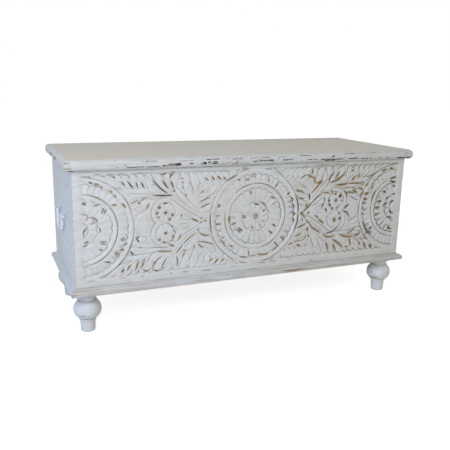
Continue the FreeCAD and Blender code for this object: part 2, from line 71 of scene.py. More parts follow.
class Slot(Enum):
    """The record's material slots."""

    PAINTED_WOOD = "whitewashed_wood"
    BARE_WOOD = "bare_wood"
    PAINTED_IRON = "painted_iron"
    STEEL = "mild_steel"


class Grain(Enum):
    """The way a board's grain runs, as an axis number."""

    LENGTH = 0
    DEPTH = 1


# Shapes as whole arrays

def smooth(value: Array, low: float, high: float) -> Array:
    """Return the ease from 0 at low to 1 at high: t * t * (3 - 2 t) of the clipped share t."""
    t = np.clip((value - low) / (high - low), 0.0, 1.0)
    return t * t * (3.0 - 2.0 * t)


def bell(value: Array, middle: float, spread: float) -> Array:
    """Return the bell curve exp(-((value - middle) / spread)^2)."""
    return np.exp(-((value - middle) / spread) ** 2)


def quarter_round(share: Array) -> Array:
    """Return a quarter circle's rise, sqrt(1 - (1 - share)^2), over shares clipped to 0 to 1."""
    return np.sqrt(1.0 - (1.0 - np.clip(share, 0.0, 1.0)) ** 2)


def soften(height: Array, spread: float) -> Array:
    """Blur a height grid with a bell curve, by its Fourier transform.

    Args:
        height: Grid of heights.
        spread: Bell curve's spread in grid cells.

    Returns:
        The blurred grid in the same shape.
    """
    pad = int(4 * spread) + 2
    padded = np.pad(height, pad, mode="edge")
    across = np.fft.fftfreq(padded.shape[0])[:, None]
    along = np.fft.rfftfreq(padded.shape[1])[None, :]
    curve = np.exp(-2.0 * (math.pi * spread) ** 2 * (across ** 2 + along ** 2))
    blurred = np.fft.irfft2(np.fft.rfft2(padded) * curve, s=padded.shape)
    return blurred[pad:-pad, pad:-pad]


def arc(a: Pair, b: Pair, c: Pair, count: int) -> Array:
    """Points on the circle through three points, evenly turned from a by way of b to c.

    Args:
        a: First point.
        b: A point between.
        c: Last point.
        count: Number of points.

    Returns:
        The points, one row each.
    """
    p, q, r = (complex(*point) for point in (a, b, c))
    w = (r - p) / (q - p)
    centre = (q - p) * (w - abs(w) ** 2) / (2j * w.imag) + p
    turns = np.unwrap(np.angle(np.array([p, q, r]) - centre))
    around = centre + abs(p - centre) * np.exp(1j * np.linspace(turns[0], turns[2], count))
    return np.stack([around.real, around.imag], -1)


def along_run(x: Array, w: Array, start: Pair, end: Pair, bow: float = 0.0) -> tuple[Array, Array, Array]:
    """Measure places against a run that bows to its left by 4 bow t (1 - t) at share t.

    Args:
        x: Places along the board.
        w: Places up the board.
        start: The run's start.
        end: Its end.
        bow: Its bow in millimetres.

    Returns:
        The share along the run from 0 to 1, the distance to its left and the distance past its ends.
    """
    length = math.dist(start, end)
    ux, uw = (end[0] - start[0]) / length, (end[1] - start[1]) / length
    t = ((x - start[0]) * ux + (w - start[1]) * uw) / length
    inside = np.clip(t, 0.0, 1.0)
    aside = (w - start[1]) * ux - (x - start[0]) * uw - 4.0 * bow * inside * (1.0 - inside)
    return inside, aside, (t - inside) * length


def grid_faces(rows: int, cols: int, wrap: bool = False) -> Array:
    """Quads of a grid of vertices numbered row by row.

    Args:
        rows: Number of rows.
        cols: Number of columns.
        wrap: Whether the last column joins the first.

    Returns:
        Corner numbers, four to a face.
    """
    r = np.arange(rows - 1)[:, None] * cols
    c = np.arange(cols if wrap else cols - 1)[None, :]
    following = (c + 1) % cols
    quads = np.broadcast_arrays(r + c, r + cols + c, r + cols + following, r + following)
    return np.stack(quads, -1).reshape(-1, 4)


def rim(rows: int, cols: int) -> Array:
    """Return the vertex numbers once round a grid's edge."""
    n = np.arange(rows * cols).reshape(rows, cols)
    return np.concatenate([n[:-1, 0], n[-1, :-1], n[:0:-1, -1], n[0, :0:-1]])


def wall(upper: Array, lower: Array) -> Array:
    """Return the quads between two closed loops of vertices with the same count."""
    return np.stack([np.roll(upper, -1), upper, lower, np.roll(lower, -1)], -1)


def box_mm(node: str) -> tuple[Array, Array]:
    """Return a CAD node's lowest and highest corners at rest, in millimetres."""
    low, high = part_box(node)
    return np.array(low) / MM, np.array(high) / MM


def add_object(name: str, data: bpy.types.ID) -> bpy.types.Object:
    """Put a new object at the scene's origin.

    Args:
        name: Its name.
        data: Its mesh, light or camera.

    Returns:
        The object.
    """
    made = bpy.data.objects.new(name, data)
    bpy.context.scene.collection.objects.link(made)
    return made


@dataclass(frozen=True)
class Ripple:
    """Smooth chance values up to a swing: a seeded lattice, size millimetres apart, eased in between."""

    size: float
    swing: float
    seed: int

    def over(self, u: Array, v: Array) -> Array:
        """Return the values at places.

        Args:
            u: First coordinate in millimetres.
            v: Second coordinate in millimetres.

        Returns:
            Values from -swing to swing.
        """
        u = (u - np.min(u)) / self.size
        v = (v - np.min(v)) / self.size
        i = np.floor(u).astype(int)
        j = np.floor(v).astype(int)
        lattice = np.random.default_rng(self.seed).uniform(-1.0, 1.0, (i.max() + 2, j.max() + 2))
        a = smooth(u - i, 0.0, 1.0)
        b = smooth(v - j, 0.0, 1.0)
        low = lattice[i, j] * (1 - a) + lattice[i + 1, j] * a
        high = lattice[i, j + 1] * (1 - a) + lattice[i + 1, j + 1] * a
        return self.swing * (low * (1 - b) + high * b)


@dataclass
class Surface:
    """A closed mesh as whole arrays: vertex places in millimetres, and faces by their count of corners.

    Its fields are named shares from 0 to 1 at each vertex, which the finishes read.
    """

    points: Array
    blocks: list[Array]
    fields: dict[str, Array] = field(default_factory=dict)

    @classmethod
    def slab(cls, top: Array, bottom: Array) -> "Surface":
        """Two grids of the same shape, joined round their edges by one wall.

        Args:
            top: Grid of points, rows by columns by three.
            bottom: The grid that lies under it.

        Returns:
            The closed slab.
        """
        rows, cols, _ = top.shape
        faces = grid_faces(rows, cols)
        edge = rim(rows, cols)
        size = rows * cols
        points = np.concatenate([top.reshape(-1, 3), bottom.reshape(-1, 3)])
        return cls(points, [faces, faces[:, ::-1] + size, wall(edge, edge + size)])

    @classmethod
    def plaque(cls, face: Array, back: float) -> "Surface":
        """A relief grid with a wall from its edge back to one flat plane in Y.

        Args:
            face: Grid of points, rows by columns by three.
            back: The plane's place along Y.

        Returns:
            The closed plaque.
        """
        rows, cols, _ = face.shape
        edge = rim(rows, cols)
        behind = face.reshape(-1, 3)[edge]
        behind[:, 1] = back
        loop = rows * cols + np.arange(len(edge))
        points = np.concatenate([face.reshape(-1, 3), behind])
        return cls(points, [grid_faces(rows, cols), wall(edge, loop), loop[None, ::-1]])

    @classmethod
    def sweep(cls, rings: Array) -> "Surface":
        """Closed rings carried along a path, with a flat cap at each end.

        Args:
            rings: Points, ring by ring.

        Returns:
            The closed tube.
        """
        count, around, _ = rings.shape
        last = (count - 1) * around
        caps = np.stack([np.arange(around), np.arange(last + around - 1, last - 1, -1)])
        return cls(rings.reshape(-1, 3), [grid_faces(count, around, wrap=True), caps])

    def volume(self) -> float:
        """Add up a . (b x c) / 6 over each face's fan of triangles.

        Returns:
            The signed volume, positive where the faces point outwards.
        """
        total = 0.0
        for block in self.blocks:
            first = self.points[block[:, :1]]
            cross = np.cross(self.points[block[:, 1:-1]], self.points[block[:, 2:]])
            total += float((first * cross).sum()) / 6.0
        return total

    def mesh(self, name: str, crease: float) -> bpy.types.Mesh:
        """Put the arrays into a mesh whose faces point outwards.

        Args:
            name: Name of the mesh.
            crease: Degrees of turn from which an edge stays sharp.

        Returns:
            The mesh, in metres, with the fields as attributes.
        """
        blocks = self.blocks if self.volume() > 0 else [block[:, ::-1] for block in self.blocks]
        corners = np.concatenate([block.ravel() for block in blocks])
        counts = np.concatenate([np.full(len(block), block.shape[1]) for block in blocks])
        starts = np.cumsum(counts) - counts
        mesh = bpy.data.meshes.new(name)
        mesh.vertices.add(len(self.points))
        mesh.vertices.foreach_set("co", (self.points * MM).astype(np.float32).ravel())
        mesh.loops.add(len(corners))
        mesh.loops.foreach_set("vertex_index", corners.astype(np.int32))
        mesh.polygons.add(len(counts))
        mesh.polygons.foreach_set("loop_start", starts.astype(np.int32))
        mesh.update(calc_edges=True)
        mesh.polygons.foreach_set("use_smooth", np.ones(len(counts), dtype=bool))
        mesh.set_sharp_from_angle(angle=math.radians(crease))
        for key, values in self.fields.items():
            shares = np.clip(values, 0.0, 1.0).astype(np.float32).ravel()
            mesh.attributes.new(key, "FLOAT", "POINT").data.foreach_set("value", shares)
        return mesh

    def piece(self, name: str, finish: "Finish", node: str, crease: float = 50.0,
              body: Body = Body.CARCASS) -> None:
        """Add the surface to the scene as a piece that stands for a CAD node.

        Args:
            name: Name of the piece.
            finish: What it is made of.
            node: The CAD node it stands for.
            crease: Degrees of turn from which an edge stays sharp.
            body: The body it moves with.
        """
        made = add_object(name, self.mesh(name, crease))
        made.data.materials.append(finish.material())
        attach(made, body.value)
        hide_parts(node)
        LOG.info("%s: %d faces", name, len(made.data.polygons))


# Finishes

# Option of a mix of colours, and its inputs: its share and the colours at share 0 and 1
RGBA = {"data_type": "RGBA"}
SHARE, COLOUR, OTHER = 0, 6, 7


def linear(code: str) -> tuple[float, ...]:
    """Turn an sRGB hex colour into linear values.

    Args:
        code: Colour such as "#D6D9DA".

    Returns:
        Linear red, green and blue, with full alpha.
    """
    srgb = np.array([int(code[i:i + 2], 16) for i in (1, 3, 5)]) / 255.0
    curve = np.where(srgb <= 0.04045, srgb / 12.92, ((srgb + 0.055) / 1.055) ** 2.4)
    return (*curve.tolist(), 1.0)


def blank_tree(owner: bpy.types.Material | bpy.types.World) -> Tree:
    """Empty the node tree of a material or the world.

    Args:
        owner: The material or the world.

    Returns:
        The tree.
    """
    owner.use_nodes = True
    owner.node_tree.nodes.clear()
    return owner.node_tree


def add_node(tree: Tree, kind: str, values: dict[Any, Any] | None = None,
             links: dict[Any, Source] | None = None) -> Node:
    """Add one shader node, set its options and inputs, and link its inputs.

    Args:
        tree: Node tree of a material or the world.
        kind: The node's type after "ShaderNode".
        values: Options by property name, and input values by socket name or number, a colour as a hex code.
        links: What feeds each input, by its name or number: a socket, or a node's first output in use.

    Returns:
        The new node.
    """
    node = tree.nodes.new("ShaderNode" + kind)
    for key, value in (values or {}).items():
        if isinstance(key, str) and hasattr(node, key):
            setattr(node, key, value)
        else:
            node.inputs[key].default_value = linear(value) if isinstance(value, str) else value
    for key, source in (links or {}).items():
        if isinstance(source, Node):
            source = next(socket for socket in source.outputs if socket.enabled)
        tree.links.new(source, node.inputs[key])
    return node


@dataclass(frozen=True)
class Finish:
    """A procedural material, made once, which carries the name of one of the record's slots. Its patterns
    follow the grain.
    """

    name: str
    slot: Slot
    grain: Grain = Grain.LENGTH

    def material(self) -> bpy.types.Material:
        """Make the material on the first call.

        Returns:
            The material.
        """
        found = bpy.data.materials.get(self.name)
        if found is not None:
            return found
        made = bpy.data.materials.new(self.name)
        tree = blank_tree(made)
        add_node(tree, "OutputMaterial", links={"Surface": self.shader(tree)})
        return made

    def shader(self, tree: Tree) -> Node:
        """Return the shader node at the end of the material's patterns."""
        raise NotImplementedError

    def figure(self, tree: Tree, along: float, across: float, detail: float = 3.0, distortion: float = 0.0,
               span: Pair | None = None, shares: Pair = (0.0, 1.0)) -> Node:
        """Draw a chance figure that is stretched along the grain.

        Args:
            tree: The material's node tree.
            along: Typical length of a mark in millimetres.
            across: Typical width of a mark in millimetres.
            detail: Number of finer layers.
            distortion: How far the marks wander.
            span: The figure's values, about 0.2 to 0.8, that become the lowest and highest share.
            shares: Those shares.

        Returns:
            The figure's last node.
        """
        scale = [1.0 / (across * MM)] * 3
        scale[self.grain.value] = 1.0 / (along * MM)
        place = add_node(tree, "TexCoord").outputs["Object"]
        turned = add_node(tree, "Mapping", {"Scale": scale}, {"Vector": place})
        noise = add_node(tree, "TexNoise", {"Scale": 1.0, "Detail": detail, "Distortion": distortion},
                         {"Vector": turned})
        if span is None:
            return noise
        limits = {"From Min": span[0], "From Max": span[1], "To Min": shares[0], "To Max": shares[1]}
        return add_node(tree, "MapRange", limits, {"Value": noise})


@dataclass(frozen=True)
class WhitewashedMango(Finish):
    """Mango wood under a thin brushed whitewash, rubbed back after it dried.

    The eye sees a chalky, nearly white coat with faint streaks along the grain and cool and warm clouds.
    Grime and painted shade grey the cut lines and hollows, and brown wood shows where the brush missed or
    the coat was sanded off.
    """

    slot: Slot = Slot.PAINTED_WOOD
    paint: str = "#DBDFDF"
    paint_warm: str = "#D3CEC6"
    paint_thin: str = "#B9B1A6"
    shade_and_grime: str = "#877B6B"
    wood_light: str = "#AD8C52"
    wood_dark: str = "#574831"
    bare_light: str = "#A8825A"
    bare_dark: str = "#7E5C3B"
    streak: float = 0.35
    streak_width: float = 4.5
    warmth: float = 0.5
    brush_depth: float = 0.35
    wear: float = 0.0
    patch_size: float = 70.0
    tone_size: float = 70.0
    scratch_length: float = 42.0
    scratch_width: float = 2.6
    scratch_start: float = 0.80
    scratch_edge: float = 0.10
    inside: tuple[int, float, float] | None = None

    def shader(self, tree: Tree) -> Node:
        """Mix coat, worn wood and bare wood.

        Args:
            tree: The material's node tree.

        Returns:
            The shader's node.
        """
        marks = {name: add_node(tree, "Attribute", {"attribute_name": name}).outputs["Fac"]
                 for name in ("crevice", "knife", "soot", "rub", "warm")}
        worn = self.worn(tree, marks)
        tone = self.figure(tree, self.tone_size, 0.5 * self.tone_size, span=(0.38, 0.62))
        dark = add_node(tree, "Math", {"operation": "MULTIPLY_ADD", 1: 0.35, "use_clamp": True},
                        {0: tone, 2: marks["soot"]})
        wood = add_node(tree, "Mix", RGBA | {COLOUR: self.wood_light, OTHER: self.wood_dark}, {SHARE: dark})
        outside = add_node(tree, "Mix", RGBA, {SHARE: worn, COLOUR: self.coat(tree, marks), OTHER: wood})
        growth = self.figure(tree, 300.0, 9.0, 4.0, 0.2, (0.34, 0.66))
        raw = add_node(tree, "Mix", RGBA | {COLOUR: self.bare_dark, OTHER: self.bare_light},
                       {SHARE: growth})
        colour = add_node(tree, "Mix", RGBA, {SHARE: self.bare(tree), COLOUR: outside, OTHER: raw})
        rough = add_node(tree, "MapRange", {"To Min": 0.52, "To Max": 0.72}, {"Value": worn})
        return add_node(tree, "BsdfPrincipled", {"IOR": 1.5, "Specular IOR Level": 0.35},
                        {"Base Color": colour, "Roughness": rough, "Normal": self.brush_marks(tree, worn)})

    def coat(self, tree: Tree, marks: dict[str, Source]) -> Node:
        """Draw the whitewash: clouds, thin streaks and blotches, and grime with painted shade in the cut
        lines and hollows.

        Args:
            tree: The material's node tree.
            marks: The mesh's fields.

        Returns:
            The coat's colour.
        """
        cloud = self.figure(tree, 420.0, 190.0, 2.0, span=(0.35, 0.65), shares=(0.0, 2 * self.warmth))
        warm = add_node(tree, "Math", {"operation": "ADD", "use_clamp": True}, {0: cloud, 1: marks["warm"]})
        coat = add_node(tree, "Mix", RGBA | {COLOUR: self.paint, OTHER: self.paint_warm}, {SHARE: warm})
        streaks = self.figure(tree, 180.0, self.streak_width, 4.0, span=(0.5, 0.75),
                              shares=(0.0, self.streak))
        blotches = self.figure(tree, 34.0, 15.0, 4.0, span=(0.45, 0.72), shares=(0.0, 0.30))
        for thin in (streaks, blotches):
            coat = add_node(tree, "Mix", RGBA | {OTHER: self.paint_thin}, {SHARE: thin, COLOUR: coat})
        # Cuts, hollows and creases get the grey-brown colour through the crevice and knife fields: grime,
        # and painted shade where they lie in shadow.
        both = add_node(tree, "Math", {"operation": "MULTIPLY_ADD", 1: 0.9},
                        {0: marks["knife"], 2: marks["crevice"]})
        grey = add_node(tree, "MapRange", {"From Min": 0.14, "From Max": 0.80, "To Max": 0.72},
                        {"Value": both})
        return add_node(tree, "Mix", RGBA | {OTHER: self.shade_and_grime}, {SHARE: grey, COLOUR: coat})

    def worn(self, tree: Tree, marks: dict[str, Source]) -> Node:
        """Draw where wood shows: cut lines inside chance patches, and scratches where edges are rubbed.

        Args:
            tree: The material's node tree.
            marks: The mesh's fields.

        Returns:
            The share of wood.
        """
        patch = self.figure(tree, self.patch_size, self.patch_size, 2.0, span=(0.40, 0.56))
        deep = add_node(tree, "MapRange", {"From Min": 0.45, "From Max": 0.9, "To Max": 0.6},
                        {"Value": marks["crevice"]})
        skipped = add_node(tree, "Math", {"operation": "MULTIPLY"}, {0: deep, 1: patch})
        sliced = add_node(tree, "MapRange", {"From Min": 0.56, "From Max": 0.76}, {"Value": marks["knife"]})
        filled = self.figure(tree, 9.0, 7.0, 2.0, span=(0.36, 0.50), shares=(0.35, 1.0))
        open_cut = add_node(tree, "Math", {"operation": "MULTIPLY"}, {0: sliced, 1: filled})
        missed = add_node(tree, "Math", {"operation": "MAXIMUM"}, {0: skipped, 1: open_cut})
        level = add_node(tree, "Math", {"operation": "ADD", 1: self.wear}, {0: marks["rub"]})
        lines = self.figure(tree, self.scratch_length, self.scratch_width)
        reach = add_node(tree, "Math", {"operation": "MULTIPLY_ADD", 1: 0.55}, {0: level, 2: lines})
        scratch = add_node(tree, "MapRange", {"From Min": self.scratch_start,
                                              "From Max": self.scratch_start + self.scratch_edge},
                           {"Value": reach})
        return add_node(tree, "Math", {"operation": "MAXIMUM"}, {0: missed, 1: scratch})

    def bare(self, tree: Tree) -> Source:
        """Find where no paint ever was: a field of the mesh, or beyond a plane of a plain board.

        Args:
            tree: The material's node tree.

        Returns:
            The share of bare wood.
        """
        if self.inside is None:
            return add_node(tree, "Attribute", {"attribute_name": "bare"}).outputs["Fac"]
        axis, painted, wood = self.inside
        place = add_node(tree, "TexCoord").outputs["Object"]
        apart = add_node(tree, "SeparateXYZ", links={0: place})
        return add_node(tree, "MapRange", {"From Min": painted * MM, "From Max": wood * MM},
                        {"Value": apart.outputs[axis]})

    def brush_marks(self, tree: Tree, worn: Source) -> Node:
        """Draw brush lines and the step down from paint to wood.

        Args:
            tree: The material's node tree.
            worn: The share of wood.

        Returns:
            The bumped normal.
        """
        lines = self.figure(tree, 120.0, 2.4, 4.0)
        height = add_node(tree, "Math", {"operation": "MULTIPLY_ADD", 1: -0.35}, {0: worn, 2: lines})
        return add_node(tree, "Bump", {"Strength": self.brush_depth, "Distance": 0.6 * MM},
                        {"Height": height})


@dataclass(frozen=True)
class BareMango(Finish):
    """Sawn and planed mango wood with no coat, as inside such chests.

    The eye sees warm brown with long darker figure lines and short open pores.
    """

    slot: Slot = Slot.BARE_WOOD
    light: str = "#B08A60"
    dark: str = "#7A5737"

    def shader(self, tree: Tree) -> Node:
        """Mix the wood's figure and pores.

        Args:
            tree: The material's node tree.

        Returns:
            The shader's node.
        """
        lines = self.figure(tree, 300.0, 9.0, 5.0, 0.2, (0.36, 0.64))
        pores = self.figure(tree, 9.0, 0.9, 2.0)
        mixed = add_node(tree, "Math", {"operation": "MULTIPLY"}, {0: lines, 1: pores})
        share = add_node(tree, "MapRange", {"From Max": 0.55}, {"Value": mixed})
        colour = add_node(tree, "Mix", RGBA | {COLOUR: self.dark, OTHER: self.light}, {SHARE: share})
        bump = add_node(tree, "Bump", {"Strength": 0.3, "Distance": 0.4 * MM}, {"Height": pores})
        rough = add_node(tree, "MapRange", {"To Min": 0.75, "To Max": 0.58}, {"Value": lines})
        return add_node(tree, "BsdfPrincipled", {"IOR": 1.5, "Specular IOR Level": 0.3},
                        {"Base Color": colour, "Roughness": rough, "Normal": bump})


@dataclass(frozen=True)
class PaintedIron(Finish):
    """Forged iron brushed over with the same whitewash.

    The eye sees a slightly glossier white with brown-black chips where hands and wear took the coat off.
    """

    slot: Slot = Slot.PAINTED_IRON
    paint: str = "#F0F4F8"
    haze: str = "#D6DADD"
    iron: str = "#3E3730"
    chip_size: float = 5.0

    def shader(self, tree: Tree) -> Node:
        """Mix the coat, its haze and its chips.

        Args:
            tree: The material's node tree.

        Returns:
            The shader's node.
        """
        chips = self.figure(tree, self.chip_size, self.chip_size, span=(0.67, 0.70))
        haze = self.figure(tree, 30.0, 30.0, 2.0)
        white = add_node(tree, "Mix", RGBA | {COLOUR: self.paint, OTHER: self.haze}, {SHARE: haze})
        colour = add_node(tree, "Mix", RGBA | {OTHER: self.iron}, {SHARE: chips, COLOUR: white})
        height = add_node(tree, "Math", {"operation": "MULTIPLY_ADD", 1: -0.8}, {0: chips, 2: haze})
        bump = add_node(tree, "Bump", {"Strength": 0.4, "Distance": 0.3 * MM}, {"Height": height})
        rough = add_node(tree, "MapRange", {"To Min": 0.42, "To Max": 0.65}, {"Value": chips})
        return add_node(tree, "BsdfPrincipled", {"IOR": 1.5},
                        {"Base Color": colour, "Roughness": rough, "Normal": bump})


@dataclass(frozen=True)
class DullSteel(Finish):
    """Rolled mild steel of hinges and screws, dulled by handling.

    The eye sees a soft grey metal with cloudy gloss and a few brown tarnish spots.
    """

    slot: Slot = Slot.STEEL
    metal: str = "#94928D"
    tarnish: str = "#6B5A48"

    def shader(self, tree: Tree) -> Node:
        """Mix the metal and its tarnish.

        Args:
            tree: The material's node tree.

        Returns:
            The shader's node.
        """
        cloud = self.figure(tree, 14.0, 6.0, 4.0)
        spots = self.figure(tree, 5.0, 5.0, span=(0.58, 0.72), shares=(0.0, 0.8))
        colour = add_node(tree, "Mix", RGBA | {COLOUR: self.metal, OTHER: self.tarnish}, {SHARE: spots})
        gloss = {"From Min": 0.3, "From Max": 0.7, "To Min": 0.32, "To Max": 0.58}
        rough = add_node(tree, "MapRange", gloss, {"Value": cloud})
        bump = add_node(tree, "Bump", {"Strength": 0.15, "Distance": 0.1 * MM}, {"Height": cloud})
        return add_node(tree, "BsdfPrincipled", {"Metallic": 1.0},
                        {"Base Color": colour, "Roughness": rough, "Normal": bump})


# Carved front board

# Millimetres beyond anything on the chest
FAR = 1e3


@dataclass(frozen=True)
class Knife:
    """One pass of the knife: half its width in millimetres and its share of the full depth.

    It goes in fully where the chance is above firm, and soot says how dark the wood in it is, from 0 to 1.
    """

    width: float
    depth: float
    firm: float = -1.0
    soot: float = 0.5


Passes = tuple[Knife, ...]
Ripples = tuple[Ripple, ...]


@dataclass(frozen=True)
class Cuts:
    """Knife strokes laid one by one, pressed to a share of the full depth, with wood of one tone in them.

    A row is a stroke's start and end (along the board, up from the field's middle), its bow to the left and
    half its width, in millimetres. A straight stroke leaves out the bow, and a dot leaves out the end too.
    """

    soot: float
    press: float
    rows: Rows

    def mirrored(self, x: float, w: float) -> "Cuts":
        """Return bowed strokes with the signs x and w on their places."""
        signs = np.array([x, w, x, w, x * w, 1.0])
        return replace(self, rows=tuple(map(tuple, np.array(self.rows) * signs)))


# Veins and stems of one quarter, which the other quarters mirror
FINE_LINES = Cuts(0.4, 0.42, (
    (212, 5, 248, 24, 4, 1.8), (214, 2, 258, 7, 2, 1.8), (248, 24, 263, 9, 4, 1.7),
    (318, 4, 350, 34, -8, 1.8), (350, 34, 330, 68, -8, 1.8), (206, 12, 236, 40, -3, 1.6),
    (368, 34, 392, 46, 3, 1.8), (352, 70, 392, 52, 4, 1.8), (140, 92, 186, 66, 5, 1.8),
    (196, 42, 186, 66, 2, 1.8), (205, 92, 232, 128, 4, 1.8), (330, 74, 396, 76, 4, 1.8),
    (396, 98, 436, 130, 4, 1.8), (262, 128, 284, 145, 5, 1.7), (288, 128, 310, 145, 5, 1.7),
    (340, 128, 362, 145, 5, 1.7), (366, 128, 388, 145, 5, 1.7), (392, 130, 412, 145, 5, 1.7)))
# Strokes on single places of the board: nearly black, brown, beside the border and round the rosettes
DARK_CUTS = Cuts(0.85, 1.0, (
    (-310, 47, 5), (-298, 57, -287, 58, 1.5, 2.4), (-279, 10, 4.6), (309, 46, 7), (294, 55, 287, 53, 4.6),
    (268, 36, 268, 30, 4.6), (270, 18, 5.4), (-403, 128, -386, 107, 2.6), (-379, 125, -372, 106, 1.9),
    (-364, 125, -354, 106, 2.3), (-328, 128, -284, 86, -3, 3), (-301, 126, -282, 101, -1, 2.8),
    (-276, 124, -266, 100, 2.6), (-278, 130, -266, 146, 3, 2.3), (-330, 84, -269, 81, -1, 2.8),
    (-265, 93, 3.5), (-381, -36, -372, -52, 2.3), (-398, -77, -389, -89, 2.5),
    (-425, -137, -418, -127, 2.8), (-191, -70, -171, -88, -2, 1.8), (-335, -136, -304, -100, 4, 1.7),
    (-305, -142, -287, -106, 3, 1.6), (-365, -130, -336, -131, -11, 1.8), (-333, -134, -306, -136, -9, 1.7),
    (-283, -63, -262, -73, -2, 1.8), (-232, 84, -227, 74, 1.9), (190, 61, 193, 40, 3.4),
    (181, 16, 184, 29, 3.4), (197, 138, 200, 124, 3.1), (167, -17, 171, -30, 2.3), (246, 27, 240, 11, 3.6),
    (253, 8, 260, -4, 3.6), (248, 46, 250, 30, 2.5), (190, -52, 190, -64, 3.4), (193, -76, 198, -84, 3.4),
    (440, -131, 451, -142, 5.5), (346, 15, 331, 0, -3, 3.6), (322, -5, 350, -30, 6, 2.8),
    (253, -77, 312, -52, -9, 2.7), (421, -91, 441, -84, 4), (435, -80, 441, -98, 4),
    (436, -74, 447, -71, 3.3), (411, -49, 429, -88, -3, 3.6), (496, 23, 506, 32, 4), (486, 1, 503, 8, 3, 4),
    (461, 19, 478, 18, 3.6), (482, 54, 494, 47, 3.6), (506, 87, 530, 81, 3.3), (524, 41, 532, 40, 3.3),
    (509, -38, 525, -43, 3.3), (512, -69, 532, -82, -6, 3.3), (514, 2, 530, 17, 6, 3.3),
    (514, -12, 530, -26, -5, 3.3), (437, 22, 449, 55, 2, 3.8), (109, 63, 118, 67, 3),
    (121, 54, 121, 35, 9, 2.6), (128, 32, 131, 11, 6, 2.6), (129, 6, 132, -13, 8, 2.8),
    (131, -15, 136, -30, 3, 2.6), (139, 60, 152, 0, 4, 2.4), (152, 0, 139, -60, 4, 3),
    (49, -52, 60, -61, 2.6), (61, -30, 71, -39, 2.4), (51, 58, 66, 52, 2.6), (90, -73, 104, -87, 2.2),
    (69, -89, 85, -107, 2.4), (63, -118, 80, -107, 2.4), (-57, -32, -43, -46, 2.6),
    (-62, -36, -50, -50, 2.2), (-6, 40, 11, 35, 2.2), (-520, -47, -532, -49, 2.1),
    (-475, -100, -455, -104, 1.9)))
